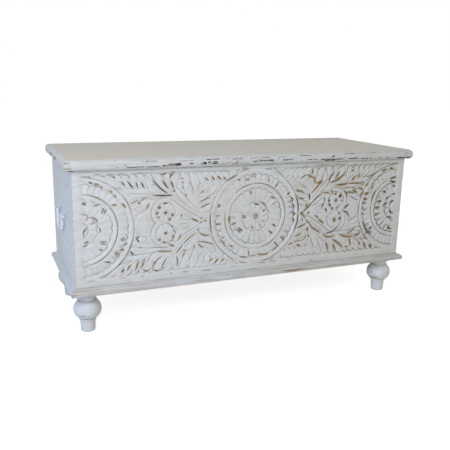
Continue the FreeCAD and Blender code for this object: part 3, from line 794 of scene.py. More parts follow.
BROWN_CUTS = Cuts(0.14, 1.0, (
    (-317, 30, 4.8), (-270, 22, 4.3), (-313, 18, 3.1), (-268, -44, 5), (-272, -57, -270, -52, 2.9),
    (-301, -58, -290, -60, 3.1), (-310, -50, 4.1), (-274, -9, -270, -15, 2.4),
    (-267, -22, -265, -30, 1, 2.2), (280, 6, 5.2), (297, 5, 301, 8, 4.3), (304, 14, 3.2), (313, -30, 6.7),
    (309, -12, 4.6), (292, -35, 6.7), (315, 30, 3), (-419, 127, -410, 115, 2.6),
    (-444, 143, -436, 139, 1.9), (-304, 141, -288, 145, 1.5, 2.5), (-244, 131, -237, 127, 1.8),
    (-239, 119, -237, 115, 2.3), (-240, 104, -237, 99, 1.9), (-148, 131, -139, 118, 2.8),
    (-129, 131, -118, 120, 3), (-169, 128, -158, 118, 2.1), (-110, 128, -101, 118, 2.6),
    (-101, 113, -64, 132, 1, 2.6), (-182, 82, -173, 90, 1.9), (-182, 39, -157, 49, 2.3),
    (-185, 53, -150, 67, 3, 1.7), (-372, 66, -367, 62, 3.9), (-393, 60, -372, 72, 2, 1.7),
    (-366, 68, -345, 79, 2, 1.6), (-347, 46, -340, 60, 2.6), (-244, 23, -242, 14, 1.9),
    (-212, 8, -189, -4, 2.8), (-182, 8, -178, 3, 2.1), (-187, -9, -176, -4, 1.8), (-168, -1, -163, -5, 2.3),
    (-197, -38, -238, -70, -2, 2.3), (-238, -70, -260, -97, 2.3), (-257, -107, -257, -136, 2, 2.3),
    (-190, -27, -188, -33, 2.5), (-186, -38, -154, -49, -4, 2.8), (-194, -65, -138, -79, 2, 2.1),
    (-239, -108, -232, -96, 2.5), (-237, -91, -226, -88, 1.8), (-201, -73, -203, -86, 1.9),
    (-251, -55, -245, -38, 2.5), (-318, -84, -270, -87, -1.5, 2.5), (-407, -133, -396, -117, 2, 2.8),
    (-384, -136, -374, -107, 2.8), (-366, -131, -355, -103, 2.8), (-379, -35, -370, -37, 2.3),
    (-369, -67, -367, -70, 2.3), (-152, -131, -140, -122, 2.6), (-136, -140, -122, -126, 3),
    (-113, -137, -102, -127, 2.8), (-509, 130, -501, 127, 3.5), (-495, 125, -482, 120, 3.7),
    (-477, 116, -474, 113, 3), (-453, 104, -446, 98, 2.6), (-441, 92, -436, 84, 2.1),
    (-418, 66, -410, 53, 2.8), (-448, 63, -434, 62, 2.3), (-528, 74, -521, 68, 4.2),
    (-496, 63, -484, 67, 2.5), (-478, 41, -470, 57, 2.1), (-472, 38, -464, 52, 1.9),
    (-506, 33, -489, 16, 3, 1.8), (-487, 2, -485, -15, 3, 1.9), (-518, 2, -528, -20, -6, 2.3),
    (-528, -41, -516, -37, 2.5), (-482, -41, -465, -42, 2.1), (-482, -46, -467, -49, 1.9),
    (-487, -63, -477, -66, 2.6), (-444, -76, -434, -88, 2.1), (-439, -74, -429, -85, 2.1),
    (-425, -37, -417, -44, 2.1), (-420, -33, -411, -40, 1.9), (-417, -56, -407, -52, 2.5),
    (-429, -68, -416, -71, 2.3), (-127, 35, -118, 41, 2.2), (-128, 40, -119, 46, 2),
    (-134, 9, -120, 9, 2.2), (-134, -17, -115, -17, 3), (-86, 6, -86, -13, -3, 4.2),
    (-79, -21, -67, -17, 3), (-45, 4, -33, 1, 2.4), (-45, -1, -33, -4, 2.2), (-117, -67, -103, -58, 2.4),
    (-118, -70, -101, -88, 3, 2.6), (-86, -87, -74, -93, 2.6), (-50, -126, -23, -130, -2, 2.4),
    (-23, -107, -17, -130, 2), (11, -124, 49, -126, -3, 3), (-33, 120, -33, 111, 2),
    (-28, 121, -28, 112, 2), (-62, 118, -54, 115, 2.6), (-14, 127, -13, 122, 2), (-7, 127, -6, 122, 2),
    (45, 117, 41, 105, 2.6), (74, 101, 64, 86, 2.6), (-20, 80, -17, 71, 3.2), (18, 43, 36, 26, 3, 2.4),
    (25, 18, 29, 15, 2.6), (-13, -30, -9, -40, 2.4), (-150, 20, -146, -40, -3, 2), (139, 73, 168, 67, 3.4),
    (154, 47, 171, 44, 3), (200, 62, 240, 102, 3.8), (212, 93, 240, 102, -2, 4),
    (203, 116, 211, 93, 1.5, 4), (180, 122, 204, 111, 3.6), (156, 110, 180, 122, 2, 2.5), (166, -3, 6.4),
    (168, -1, 203, 30, 3.9), (203, 30, 240, 59, 2, 2.8), (240, 59, 268, 56, 3, 2.8),
    (273, 68, 279, 59, 3.3), (191, -2, 4.6), (168, -7, 182, -19, 3.7), (181, -24, 206, -48, 2.8),
    (229, -26, 251, -43, 3.8), (215, -11, 229, -24, 2.8), (154, -50, 184, -39, 3.4),
    (147, -78, 168, -70, 3.2), (122, -104, 138, -97, 3), (138, -97, 172, -94, 1, 2.2),
    (172, -94, 186, -76, -3, 2.8), (198, -47, 240, -74, 3.8), (250, -80, 300, -87, -7, 3.6),
    (316, -86, 374, -97, -4, 4.3), (374, -97, 400, -84, -3, 4.7), (345, -84, 376, -64, -4, 3),
    (290, -101, 333, -134, 2, 4.3), (263, -106, 275, -136, 3.8), (291, -117, 304, -138, 3.8),
    (356, -99, 363, -129, 4), (340, -131, 353, -131, 3), (395, -118, 403, -129, 4.3),
    (415, -122, 427, -143, 1, 4.7), (153, -107, 165, -112, 4.6), (346, 128, 357, 130, 3.3),
    (262, 97, 276, 123, 2, 4), (286, 104, 302, 126, 1, 4.7), (269, 93, 324, 124, -6, 4.9),
    (290, 83, 336, 86, -1, 4.3), (336, 86, 394, 82, 2, 3), (351, 95, 363, 109, 4.7),
    (375, 103, 381, 118, 3.3), (322, 63, 335, 39, 5, 3.8), (333, 57, 366, 52, 1.5, 3.8),
    (357, 64, 374, 54, 5.2), (380, 71, 398, 62, 3.8), (389, 39, 401, 58, 4.7), (404, 48, 423, 48, 4.9),
    (403, 31, 418, 28, 4.7), (399, 16, 413, 17, 4.3), (399, 1, 403, -1, 3.8), (399, -20, 408, -22, 3.6),
    (406, -48, 415, -61, 3.3), (418, 83, 409, 74, 3.8), (429, 62, 439, 78, -2, 3.6), (453, -3, 471, -2, 4),
    (453, -30, 472, -24, 4), (519, 71, 531, 67, 4.3), (506, 93, 534, 99, 2, 3.8), (471, 121, 490, 129, 3.6),
    (502, 131, 514, 129, 4.7)))
BORDER_CUTS = Cuts(0.2, 0.9, (
    (-180, -157, -146, -158, 2.2), (-243, -155, -223, -156, 1.9), (-282, -154, -272, -155, 1.9),
    (-372, -153, -360, -154, 1.5), (-430, -152, -415, -152, 1.4), (-530, -151, -500, -152, 1.2),
    (10, -152, 40, -153, 1.8), (-82, -154, -68, -155, 1.5), (50, -152, 80, -153, 1.5),
    (196, -163, 218, -164, 1.6), (120, -153, 135, -153, 1.4), (-500, 151, -478, 152, 1.8),
    (-462, 150, -440, 151, 1.8), (-435, 151, -410, 151, 1.5), (-395, 150, -345, 149, 1, 1.2),
    (-280, 150, -262, 151, 1.6), (-55, 153, -32, 152, 2), (200, 152, 262, 152, 1.8),
    (262, 152, 330, 151, 1.6), (345, 150, 362, 150, 1.5), (480, 149, 500, 148, 1.5),
    (160, 150, 180, 151, 1.3)))
RING_CUTS = Cuts(0.1, 0.85, (
    (-515, 96, -458, 62, 5.6, 1.5), (-458, 62, -433, -5, 6.2, 1.4), (-433, -5, -458, -72, 6.2, 1.4),
    (-458, -72, -515, -106, 5.6, 1.5), (-388, -31, -413, -92, 3.6, 1.8), (-413, -92, -444, -124, 1.7, 2),
    (-444, -124, -490, -149, 2.3, 1.3), (-421, 92, -393, 42, 2.8, 1.1), (-70, 77, -9, 103, 5.5, 1.2),
    (-9, 103, 73, 73, 9.7, 1.5), (73, 73, 104, 0, 7.9, 1.8), (104, 0, 79, -67, 6.2, 1.5),
    (79, -67, 20, -102, 7, 1.2), (-102, 20, -94, -45, -5, 1.5), (-21, -127, 11, -125, -2, 1.7)))
# Where the knife went in more or less firmly: place, radius and change of the chance
WORN_PLACES: Rows = (
    (-420, -80, 45, 0.45), (-470, 110, 50, 0.35), (-450, 0, 35, 0.35), (-398, -10, 35, 0.3),
    (-450, -118, 40, 0.4), (-500, -60, 40, -0.1), (-310, 120, 45, 0.35), (-350, -125, 55, 0.4),
    (-290, -120, 40, 0.3), (-190, 120, 50, -0.3), (-210, -110, 40, -0.2), (-370, -20, 40, -0.3),
    (-290, 30, 26, 0.3), (-280, -45, 24, 0.25), (-95, -90, 40, 0.4), (-60, -20, 40, 0.2),
    (-110, 60, 45, -0.3), (0, 110, 50, 0.1), (60, 60, 45, 0.3), (125, 10, 45, 0.5), (105, -75, 40, 0.35),
    (40, -130, 40, 0.3), (200, -110, 40, 0.1), (230, 120, 45, 0.45), (300, 125, 45, 0.5),
    (380, 122, 45, 0.5), (440, 110, 40, 0.4), (290, 35, 30, 0.4), (345, 40, 40, 0.35), (415, 10, 40, 0.45),
    (420, -80, 40, 0.5), (350, -110, 55, 0.4), (490, 10, 45, 0.35), (490, -80, 40, 0.3), (500, 110, 40, 0.3))


@dataclass
class Relief:
    """A stack of carved motifs, each a distance to its outline and a height inside, scored by V cuts.

    Chance says how firmly the knife went in at each place, press is a factor on its depth there, and tone
    is added to how dark the wood in a cut is. Root is the height at the foot of a motif's rounded side, and
    edge that side's width. A laid stroke has a floor, walls and a shallow dip by shares of its half width.
    """

    chance: Array
    press: Array
    tone: Array
    root: float
    edge: float
    cut_depth: float = 0.85
    ease: Pair = (0.35, 0.05)
    least_reach: float = 0.2
    floor: float = 0.35
    walls: float = 1.15
    dip_width: float = 2.2
    dip_depth: float = 0.12
    taper: float = 0.3
    taper_end: float = 0.04
    tone_undone: float = 0.4
    margin: float = 16.0

    def __post_init__(self) -> None:
        """Start with bare ground and no cuts."""
        self.top = np.full(self.chance.shape, self.root)
        self.gap = np.full(self.chance.shape, FAR)
        self.cut = np.zeros(self.chance.shape)
        self.soot = np.full(self.chance.shape, 0.5)

    def add(self, gap: Array, height: Array | float, edge: float | None = None) -> None:
        """Stack a motif: its rounded side rises from the root inside its outline.

        Args:
            gap: Distance to the outline, negative inside.
            height: Height inside the outline.
            edge: Width of the rounded side, where it isn't the usual one.
        """
        side = quarter_round(-gap / (edge or self.edge))
        self.top = np.maximum(self.top, self.root + (height - self.root) * side)
        self.gap = np.minimum(self.gap, gap)

    def cut_in(self, away: Array, half_width: float, depth: Array | float, firm: float = -1.0,
               soot: Array | float = 0.5, near: tuple[slice, slice] = np.s_[:, :]) -> None:
        """Make a V cut: deepest on its line and gone beyond its half width, which grows with its depth.

        Args:
            away: Distance from the line, to either side.
            half_width: Half the cut's width.
            depth: Share of the full depth along the line.
            firm: The chance from which the knife went in fully.
            soot: How dark the wood at its bottom is.
            near: The part of the grid that the cut lies in.
        """
        firmly = smooth(self.chance[near], firm - self.ease[0], firm - self.ease[1])
        pressed = np.clip(depth * self.press[near] * firmly, 0.0, 1.0)
        reach = np.maximum(half_width * np.sqrt(pressed), self.least_reach)
        cut = pressed * np.clip(1.0 - np.abs(away) / reach, 0.0, 1.0)
        shade = np.clip(soot + self.tone[near], 0.0, 1.0)
        self.soot[near] = np.where(cut > self.cut[near], shade, self.soot[near])
        self.cut[near] = np.maximum(self.cut[near], cut)

    def score(self, away: Array, passes: Passes, run: Array | float = 1.0) -> None:
        """Score a line with every pass of the knife. The run is a factor on their depth along it."""
        for knife in passes:
            self.cut_in(away, knife.width, knife.depth * run, knife.firm, knife.soot)

    def lay(self, x: Array, w: Array, cuts: Cuts) -> None:
        """Score strokes laid one by one. A stroke's depth follows the sine of its run, so its ends are
        pointed.

        Args:
            x: Places along the board.
            w: Places up from the field's middle.
            cuts: The strokes.
        """
        margin = np.array([-self.margin, self.margin])
        for x0, w0, *rest, width in cuts.rows:
            x1, w1, bow = (*(rest or (x0, w0)), 0.0)[:3]
            i = np.searchsorted(x[:, 0], np.sort([x0, x1]) + margin)
            j = np.searchsorted(w[0], np.sort([w0, w1]) + margin)
            near = np.s_[i[0]:i[1], j[0]:j[1]]
            away = np.hypot(x[near] - x0, w[near] - w0)
            run = 1.0
            if (x0, w0) != (x1, w1):
                inside, aside, beyond = along_run(x[near], w[near], (x0, w0), (x1, w1), bow)
                away = np.hypot(aside, beyond)
                run = np.sin(math.pi * np.clip(inside, self.taper_end, 1.0 - self.taper_end)) ** self.taper
            depth = cuts.press * run / self.press[near]
            soot = cuts.soot - self.tone_undone * self.tone[near]
            past_floor = np.maximum(away - self.floor * width, 0.0)
            self.cut_in(past_floor, self.walls * width, depth, soot=soot, near=near)
            self.cut_in(away, self.dip_width * width, self.dip_depth * depth, soot=soot, near=near)

    def clear(self, within: Array) -> None:
        """Cut the stack back to open ground.

        Args:
            within: Where.
        """
        self.top = np.where(within, self.root, self.top)
        self.gap = np.where(within, FAR, self.gap)
        self.cut = np.where(within, 0.0, self.cut)

    def heights(self, ground: float, reach: float) -> Array:
        """Return the scored heights. Open ground dips to the root within reach of every outline."""
        open_ground = ground - (ground - self.root) * bell(np.maximum(self.gap, 0.0), 0.0, reach)
        return np.where(self.gap > 0, open_ground, self.top) * (1.0 - self.cut_depth * self.cut)


@dataclass(frozen=True)
class LeafSpray:
    """Finger leaves side by side, by shares of the rosette spacing and of half the field's height.

    First and last are a leaf's base and tip, width is half its width and bend its sideways bow. Stroke is
    how far up a leaf the line beside it runs, and a vein is a line along its middle.
    """

    first: tuple[Pair, Pair]
    width: float
    bend: float
    last: tuple[Pair, Pair] | None = None
    count: int = 1
    vein: bool = False
    stroke: float = 0.72
    height: float = 5.4
    low_side: float = 0.42
    widest: float = 0.68
    powers: Pair = (0.8, 2.4)
    sink: float = 0.8
    side_line: Passes = (Knife(2.8, 0.4), Knife(2.8, 0.9, 0.98, 0.4))
    inner_line: Passes = (Knife(1.3, 0.26, 0.3),)
    inner_start: Pair = (0.15, 0.5)
    inset: float = 4.2
    tip_line: Passes = (Knife(1.5, 0.30, 0.3), Knife(1.7, 0.72, 0.92, 0.45))
    tip_start: Pair = (0.30, 0.65)
    vein_line: Passes = (Knife(2.8, 0.4),)

    def spots(self) -> Array:
        """Return base and tip shares of every leaf, spaced evenly from the first to the last."""
        t = np.linspace(0.0, 1.0, self.count)[:, None, None]
        return np.array(self.first) * (1 - t) + np.array(self.last or self.first) * t

    def add_to(self, relief: Relief, x: Array, w: Array, scale: Pair) -> None:
        """Stack the leaves and score a line along the low edge of each.

        A leaf's half width eases from a pointed base to its widest place and closes in a round tip.
        Its face slants from a high edge to a low one, so neighbours overlap like shingles.

        Args:
            relief: The stack.
            x: Folded places along the board.
            w: Folded places up from the field's middle.
            scale: The rosettes' spacing and half the field's height.
        """
        opening, closing = self.powers
        for base, tip in self.spots() * scale:
            inside, aside, beyond = along_run(x, w, base, tip, self.bend * scale[1])
            swell = np.sin(np.clip(inside / self.widest, 0.0, 1.0) * math.pi / 2) ** opening
            past = np.clip((inside - self.widest) / (1.0 - self.widest), 0.0, 1.0)
            half = self.width * scale[1] * swell * np.sqrt(1.0 - past ** closing)
            gap = np.hypot(np.maximum(np.abs(aside) - half, 0.0), beyond)
            gap = np.where(gap > 0, gap, np.abs(aside) - half)
            slant = np.sqrt(np.clip((aside / np.maximum(half, 0.1) + 1.0) / 2, 0.0, 1.0))
            face = self.height * (self.low_side + (1.0 - self.low_side) * slant)
            relief.add(gap, face - self.sink * (1.0 - inside) ** 2)
            run = np.sin(math.pi * np.clip(inside / self.stroke, 0.0, 1.0))
            relief.score(np.hypot(aside + half, beyond), self.side_line, run)
            relief.score(gap + self.inset, self.inner_line, smooth(inside, *self.inner_start))
            relief.score(gap, self.tip_line, smooth(inside, *self.tip_start))
            if self.vein:
                relief.score(np.hypot(aside, beyond), self.vein_line, run)


# Leaves of the field's upper right quarter, in the order that they are stacked
SPRAYS = (
    LeafSpray(((0.192, 0.74), (0.095, 0.985)), 0.044, 0.03),
    LeafSpray(((0.184, 0.735), (0.212, 0.955)), 0.080, 0.02, ((0.325, 0.68), (0.362, 0.955)), 5),
    LeafSpray(((0.352, 0.23), (0.276, 0.31)), 0.060, 0.05, ((0.352, 0.50), (0.246, 0.68)), 3, True, 0.9),
    LeafSpray(((0.378, 0.52), (0.398, 0.965)), 0.086, 0.05, ((0.428, 0.60), (0.448, 0.965)), 2),
    LeafSpray(((0.340, 0.14), (0.492, 0.70)), 0.056, -0.03, stroke=0.95),
    LeafSpray(((0.646, 0.30), (0.716, 0.22)), 0.066, 0.03, ((0.640, 0.50), (0.742, 0.47)), 2),
    LeafSpray(((0.500, 0.535), (0.752, 0.575)), 0.046, -0.03),
    LeafSpray(((0.612, 0.645), (0.640, 0.965)), 0.086, -0.03, ((0.772, 0.72), (0.862, 0.955)), 6),
    LeafSpray(((0.740, 0.575), (0.950, 0.985)), 0.050, 0.07),
    LeafSpray(((0.512, 0.575), (0.634, 0.71)), 0.090, -0.02),
    LeafSpray(((0.489, 0.66), (0.482, 0.970)), 0.092, -0.04, ((0.506, 0.60), (0.592, 0.945)), 3,
              stroke=0.86))


@dataclass(frozen=True)
class PetalRing:
    """A ring of low round-ended petals on a flat band.

    Its root, its tips and the band's end are shares of the rosette's radius. Its height and its flute, the
    distance of the short cuts from a joint, are millimetres.
    """

    count: int
    root: float
    tip: float
    end: float
    height: float
    flute: float


OUTER_PETALS = PetalRing(40, 0.684, 0.888, 0.924, 5.0, 2.6)
INNER_PETALS = PetalRing(24, 0.318, 0.590, 0.610, 5.0, 2.4)
MIDDLE_PETALS = PetalRing(12, 0.0684, 0.312, 0.322, 5.4, 1.8)


@dataclass(frozen=True)
class Rosette:
    """Petal rings from the rim inwards, beads and a ringed button, by shares of the rosette's radius."""

    rings: tuple[PetalRing, ...]
    button: float
    drilled: bool
    beads: tuple[Pair, ...] = ((0.920, 1.000), (0.606, 0.686))
    bead_height: float = 5.6
    bead_side: float = 0.74
    bead_line: Passes = (Knife(1.68, 0.28), Knife(1.68, 0.9, 0.82, 0.2))
    band: float = 0.74
    petal_side: float = 0.80
    scallop: float = 4.6
    wander: Ripple = Ripple(40.0, 0.03, 9)
    joint_line: Passes = (Knife(1.5, 0.36),)
    joint_start: float = 0.3
    rim_line: Passes = (Knife(2.31, 0.36), Knife(2.31, 0.65, 0.55), Knife(2.73, 0.9, 0.90, 0.6))
    flute_line: Passes = (Knife(1.8, 0.5, 0.80), Knife(1.9, 0.95, 0.98, 0.35))
    flute_place: Pair = (0.66, 0.22)
    button_height: float = 7.0
    button_crown: Pair = (0.98, 0.2)
    button_edge: float = 3.0
    button_line: Passes = (Knife(2.1, 0.5),)
    drill: Pair = (0.48, 0.42)
    drill_soot: float = 0.3

    def add_bead(self, relief: Relief, r: Array, inner: float, outer: float) -> None:
        """Stack a low ring, a dome over the distance from its middle radius, with a line outside it.

        Args:
            relief: The stack.
            r: Distance from the ring's centre.
            inner: Inner radius.
            outer: Outer radius.
        """
        middle = (inner + outer) / 2
        half = (outer - inner) / 2
        dome = np.sqrt(np.clip(1.0 - ((r - middle) / half) ** 2, 0.0, 1.0))
        crown = self.bead_side + (1.0 - self.bead_side) * dome
        relief.add(np.abs(r - middle) - half, self.bead_height * crown)
        relief.score(r - outer, self.bead_line)

    def add_petals(self, relief: Relief, r: Array, turn: Array, radius: float, ring: PetalRing) -> None:
        """Stack a ring of petals, with pairs of short cuts beside some of their joints.

        At share s from a petal's middle line to its side, it ends at tip - scallop s^2 and its face is a low
        dome in s. The petals stand on a flat band, with a wavy line scored round their tips.

        Args:
            relief: The stack.
            r: Distance from the centre.
            turn: Angle about the centre.
            radius: The rosette's radius.
            ring: The petals.
        """
        root, tip, end = (share * radius for share in (ring.root, ring.tip, ring.end))
        pitch = 2 * math.pi / ring.count
        s = np.abs((turn / pitch) % 1.0 - 0.5) * 2.0
        aside = (1.0 - s) * pitch * r / 2
        bound = tip - self.scallop * s ** 2
        dome = self.petal_side + (1.0 - self.petal_side) * np.sqrt(1.0 - s ** 2)
        relief.add(np.maximum(r - end, root - r), self.band * ring.height)
        relief.add(np.maximum(r - bound, root - r), ring.height * dome)
        run = smooth(r, root, root + self.joint_start * (tip - root)) * (r < bound)
        relief.score(aside, self.joint_line, run)
        relief.score(r - bound, self.rim_line)
        middle, spread = self.flute_place
        run = np.exp(-((r - root - middle * (tip - root)) / (spread * (tip - root))) ** 4)
        relief.score(aside - ring.flute, self.flute_line, run)

    def add_to(self, relief: Relief, x: Array, w: Array, radius: float) -> None:
        """Stack the beads, the petal rings and the button, a low crown with a drilled ring in it.

        Args:
            relief: The stack.
            x: Places along the board from the rosette's centre.
            w: Places up from its centre.
            radius: The rosette's radius.
        """
        r = np.hypot(x, w)
        turn = np.arctan2(w, x) + self.wander.over(x, w)
        relief.clear(r < radius)
        for inner, outer in self.beads:
            self.add_bead(relief, r, inner * radius, outer * radius)
        for ring in self.rings:
            self.add_petals(relief, r, turn, radius, ring)
        button = self.button * radius
        middle, fall = self.button_crown
        relief.clear(r < button)
        crown = self.button_height * (middle - fall * smooth(r, 0.5 * button, button))
        relief.add(r - button, crown, self.button_edge)
        relief.score(r - button, self.button_line)
        if self.drilled:
            place, half = (share * button for share in self.drill)
            relief.score(r - place, (Knife(half, 1.0, soot=self.drill_soot),))


@dataclass(frozen=True)
class Flower:
    """Petals, each with a drilled dot, round a drilled eye. Radii are shares of half the field's height."""

    petals: int = 9
    radius: float = 0.196
    height: float = 5.0
    edge: float = 3.0
    dip: Pair = (0.25, 0.6)
    outline: Pair = (1.02, 0.10)
    outline_cut: Passes = (Knife(2.1, 0.5), Knife(2.1, 0.9, 0.9, 0.6))
    ring: float = 0.205
    ring_line: Passes = (Knife(2.1, 0.35),)
    dot_place: float = 0.82
    dot_core: float = 2.4
    dot_line: Passes = (Knife(3.6, 0.26),)
    eye: float = 0.055
    eye_rise: float = 1.0
    eye_ring: float = 1.1
    eye_line: Passes = (Knife(2.1, 0.5),)
    drill: Pair = (0.40, 0.55)
    drill_soot: float = 0.4

    def add_to(self, relief: Relief, r: Array, turn: Array, size: float) -> None:
        """Stack the flower, whose face dips at the joints of its petals.

        Args:
            relief: The stack.
            r: Distance from the flower's centre.
            turn: Angle about it.
            size: Half the field's height.
        """
        radius, eye = self.radius * size, self.eye * size
        relief.score(r - self.ring * size, self.ring_line)
        relief.clear(r < radius)
        pitch = 2 * math.pi / self.petals
        beside = ((turn / pitch) % 1.0 - 0.5) * pitch
        joint = np.cos(self.petals * turn / 2.0) ** 2
        dip, full = self.dip
        face = self.height * (1.0 - dip * joint * smooth(r, eye, full * radius))
        relief.add(r - radius, face, self.edge)
        dot = np.hypot(r * np.cos(beside) - self.dot_place * radius, r * np.sin(beside))
        relief.add(r - eye, self.height + self.eye_rise)
        relief.score(np.maximum(dot - self.dot_core, 0.0), self.dot_line)
        place, notch = self.outline
        relief.score(r - radius * (place - notch * joint ** 2), self.outline_cut)
        relief.score(r - self.eye_ring * eye, self.eye_line)
        core, walls = (share * eye for share in self.drill)
        relief.score(np.maximum(r - core, 0.0), (Knife(walls, 1.0, soot=self.drill_soot),))


@dataclass(frozen=True)
class Heart:
    """A raised field with a line inside its outline, a flower in each lobe and a tongue behind.

    Half its outline is a tapered round from a small circle at the apex to a large one round the flower.
    Places are shares of the rosettes' spacing and of half the field's height.
    """

    apex: float = 0.318
    lobe: Pair = (0.543, 0.210)
    radii: Pair = (0.02, 0.285)
    flank_hollow: float = 5.0
    height: float = 5.0
    edge: float = 3.2
    line: Passes = (Knife(2.1, 0.33),)
    inner_line: Passes = (Knife(2.1, 0.25),)
    inset: float = 7.0
    offset: float = 8.0
    outer_start: Pair = (0.2, 0.5)
    tongue_place: float = 0.645
    tongue_radius: float = 0.250
    tongue_height: float = 4.4
    tongue_edge: float = 4.0
    tongue_gap: float = 2.0
    flower: Flower = Flower()

    def add_to(self, relief: Relief, x: Array, w: Array, scale: Pair) -> None:
        """Stack the tongue, half the heart and its flower, with one line inside the outline and one outside.

        Args:
            relief: The stack.
            x: Folded places along the board.
            w: Folded places up from the field's middle.
            scale: The rosettes' spacing and half the field's height.
        """
        spacing, size = scale
        apex = (self.apex * spacing, 0.0)
        lobe = (self.lobe[0] * spacing, self.lobe[1] * size)
        small, large = (share * size for share in self.radii)
        reach = math.dist(apex, lobe)
        inside, aside, beyond = along_run(x, w, apex, lobe)
        along = inside * reach + beyond
        aside = np.abs(aside)
        lean = (small - large) / reach
        rise = math.sqrt(1.0 - lean ** 2)
        k = along * rise - aside * lean
        ring = np.hypot(x - lobe[0], w - lobe[1])
        outline = np.where(k < 0, np.hypot(along, aside) - small, aside * rise + along * lean - small)
        outline = np.where(k > rise * reach, ring - large, outline)
        flank = np.clip(k / (rise * reach), 0.0, 1.0)
        outline = outline + 4.0 * self.flank_hollow * flank * (1.0 - flank)
        relief.clear(outline < 0.0)
        tongue = np.hypot(x - self.tongue_place * spacing, w) - self.tongue_radius * size
        relief.add(np.maximum(tongue, self.tongue_gap - outline), self.tongue_height, self.tongue_edge)
        relief.add(outline, self.height, self.edge)
        relief.score(outline, self.line)
        relief.score(outline + self.inset, self.inner_line)
        run = smooth(along, *(share * reach for share in self.outer_start))
        relief.score(outline - self.offset, self.line, run)
        self.flower.add_to(relief, ring, np.arctan2(w - lobe[1], x - lobe[0]), size)


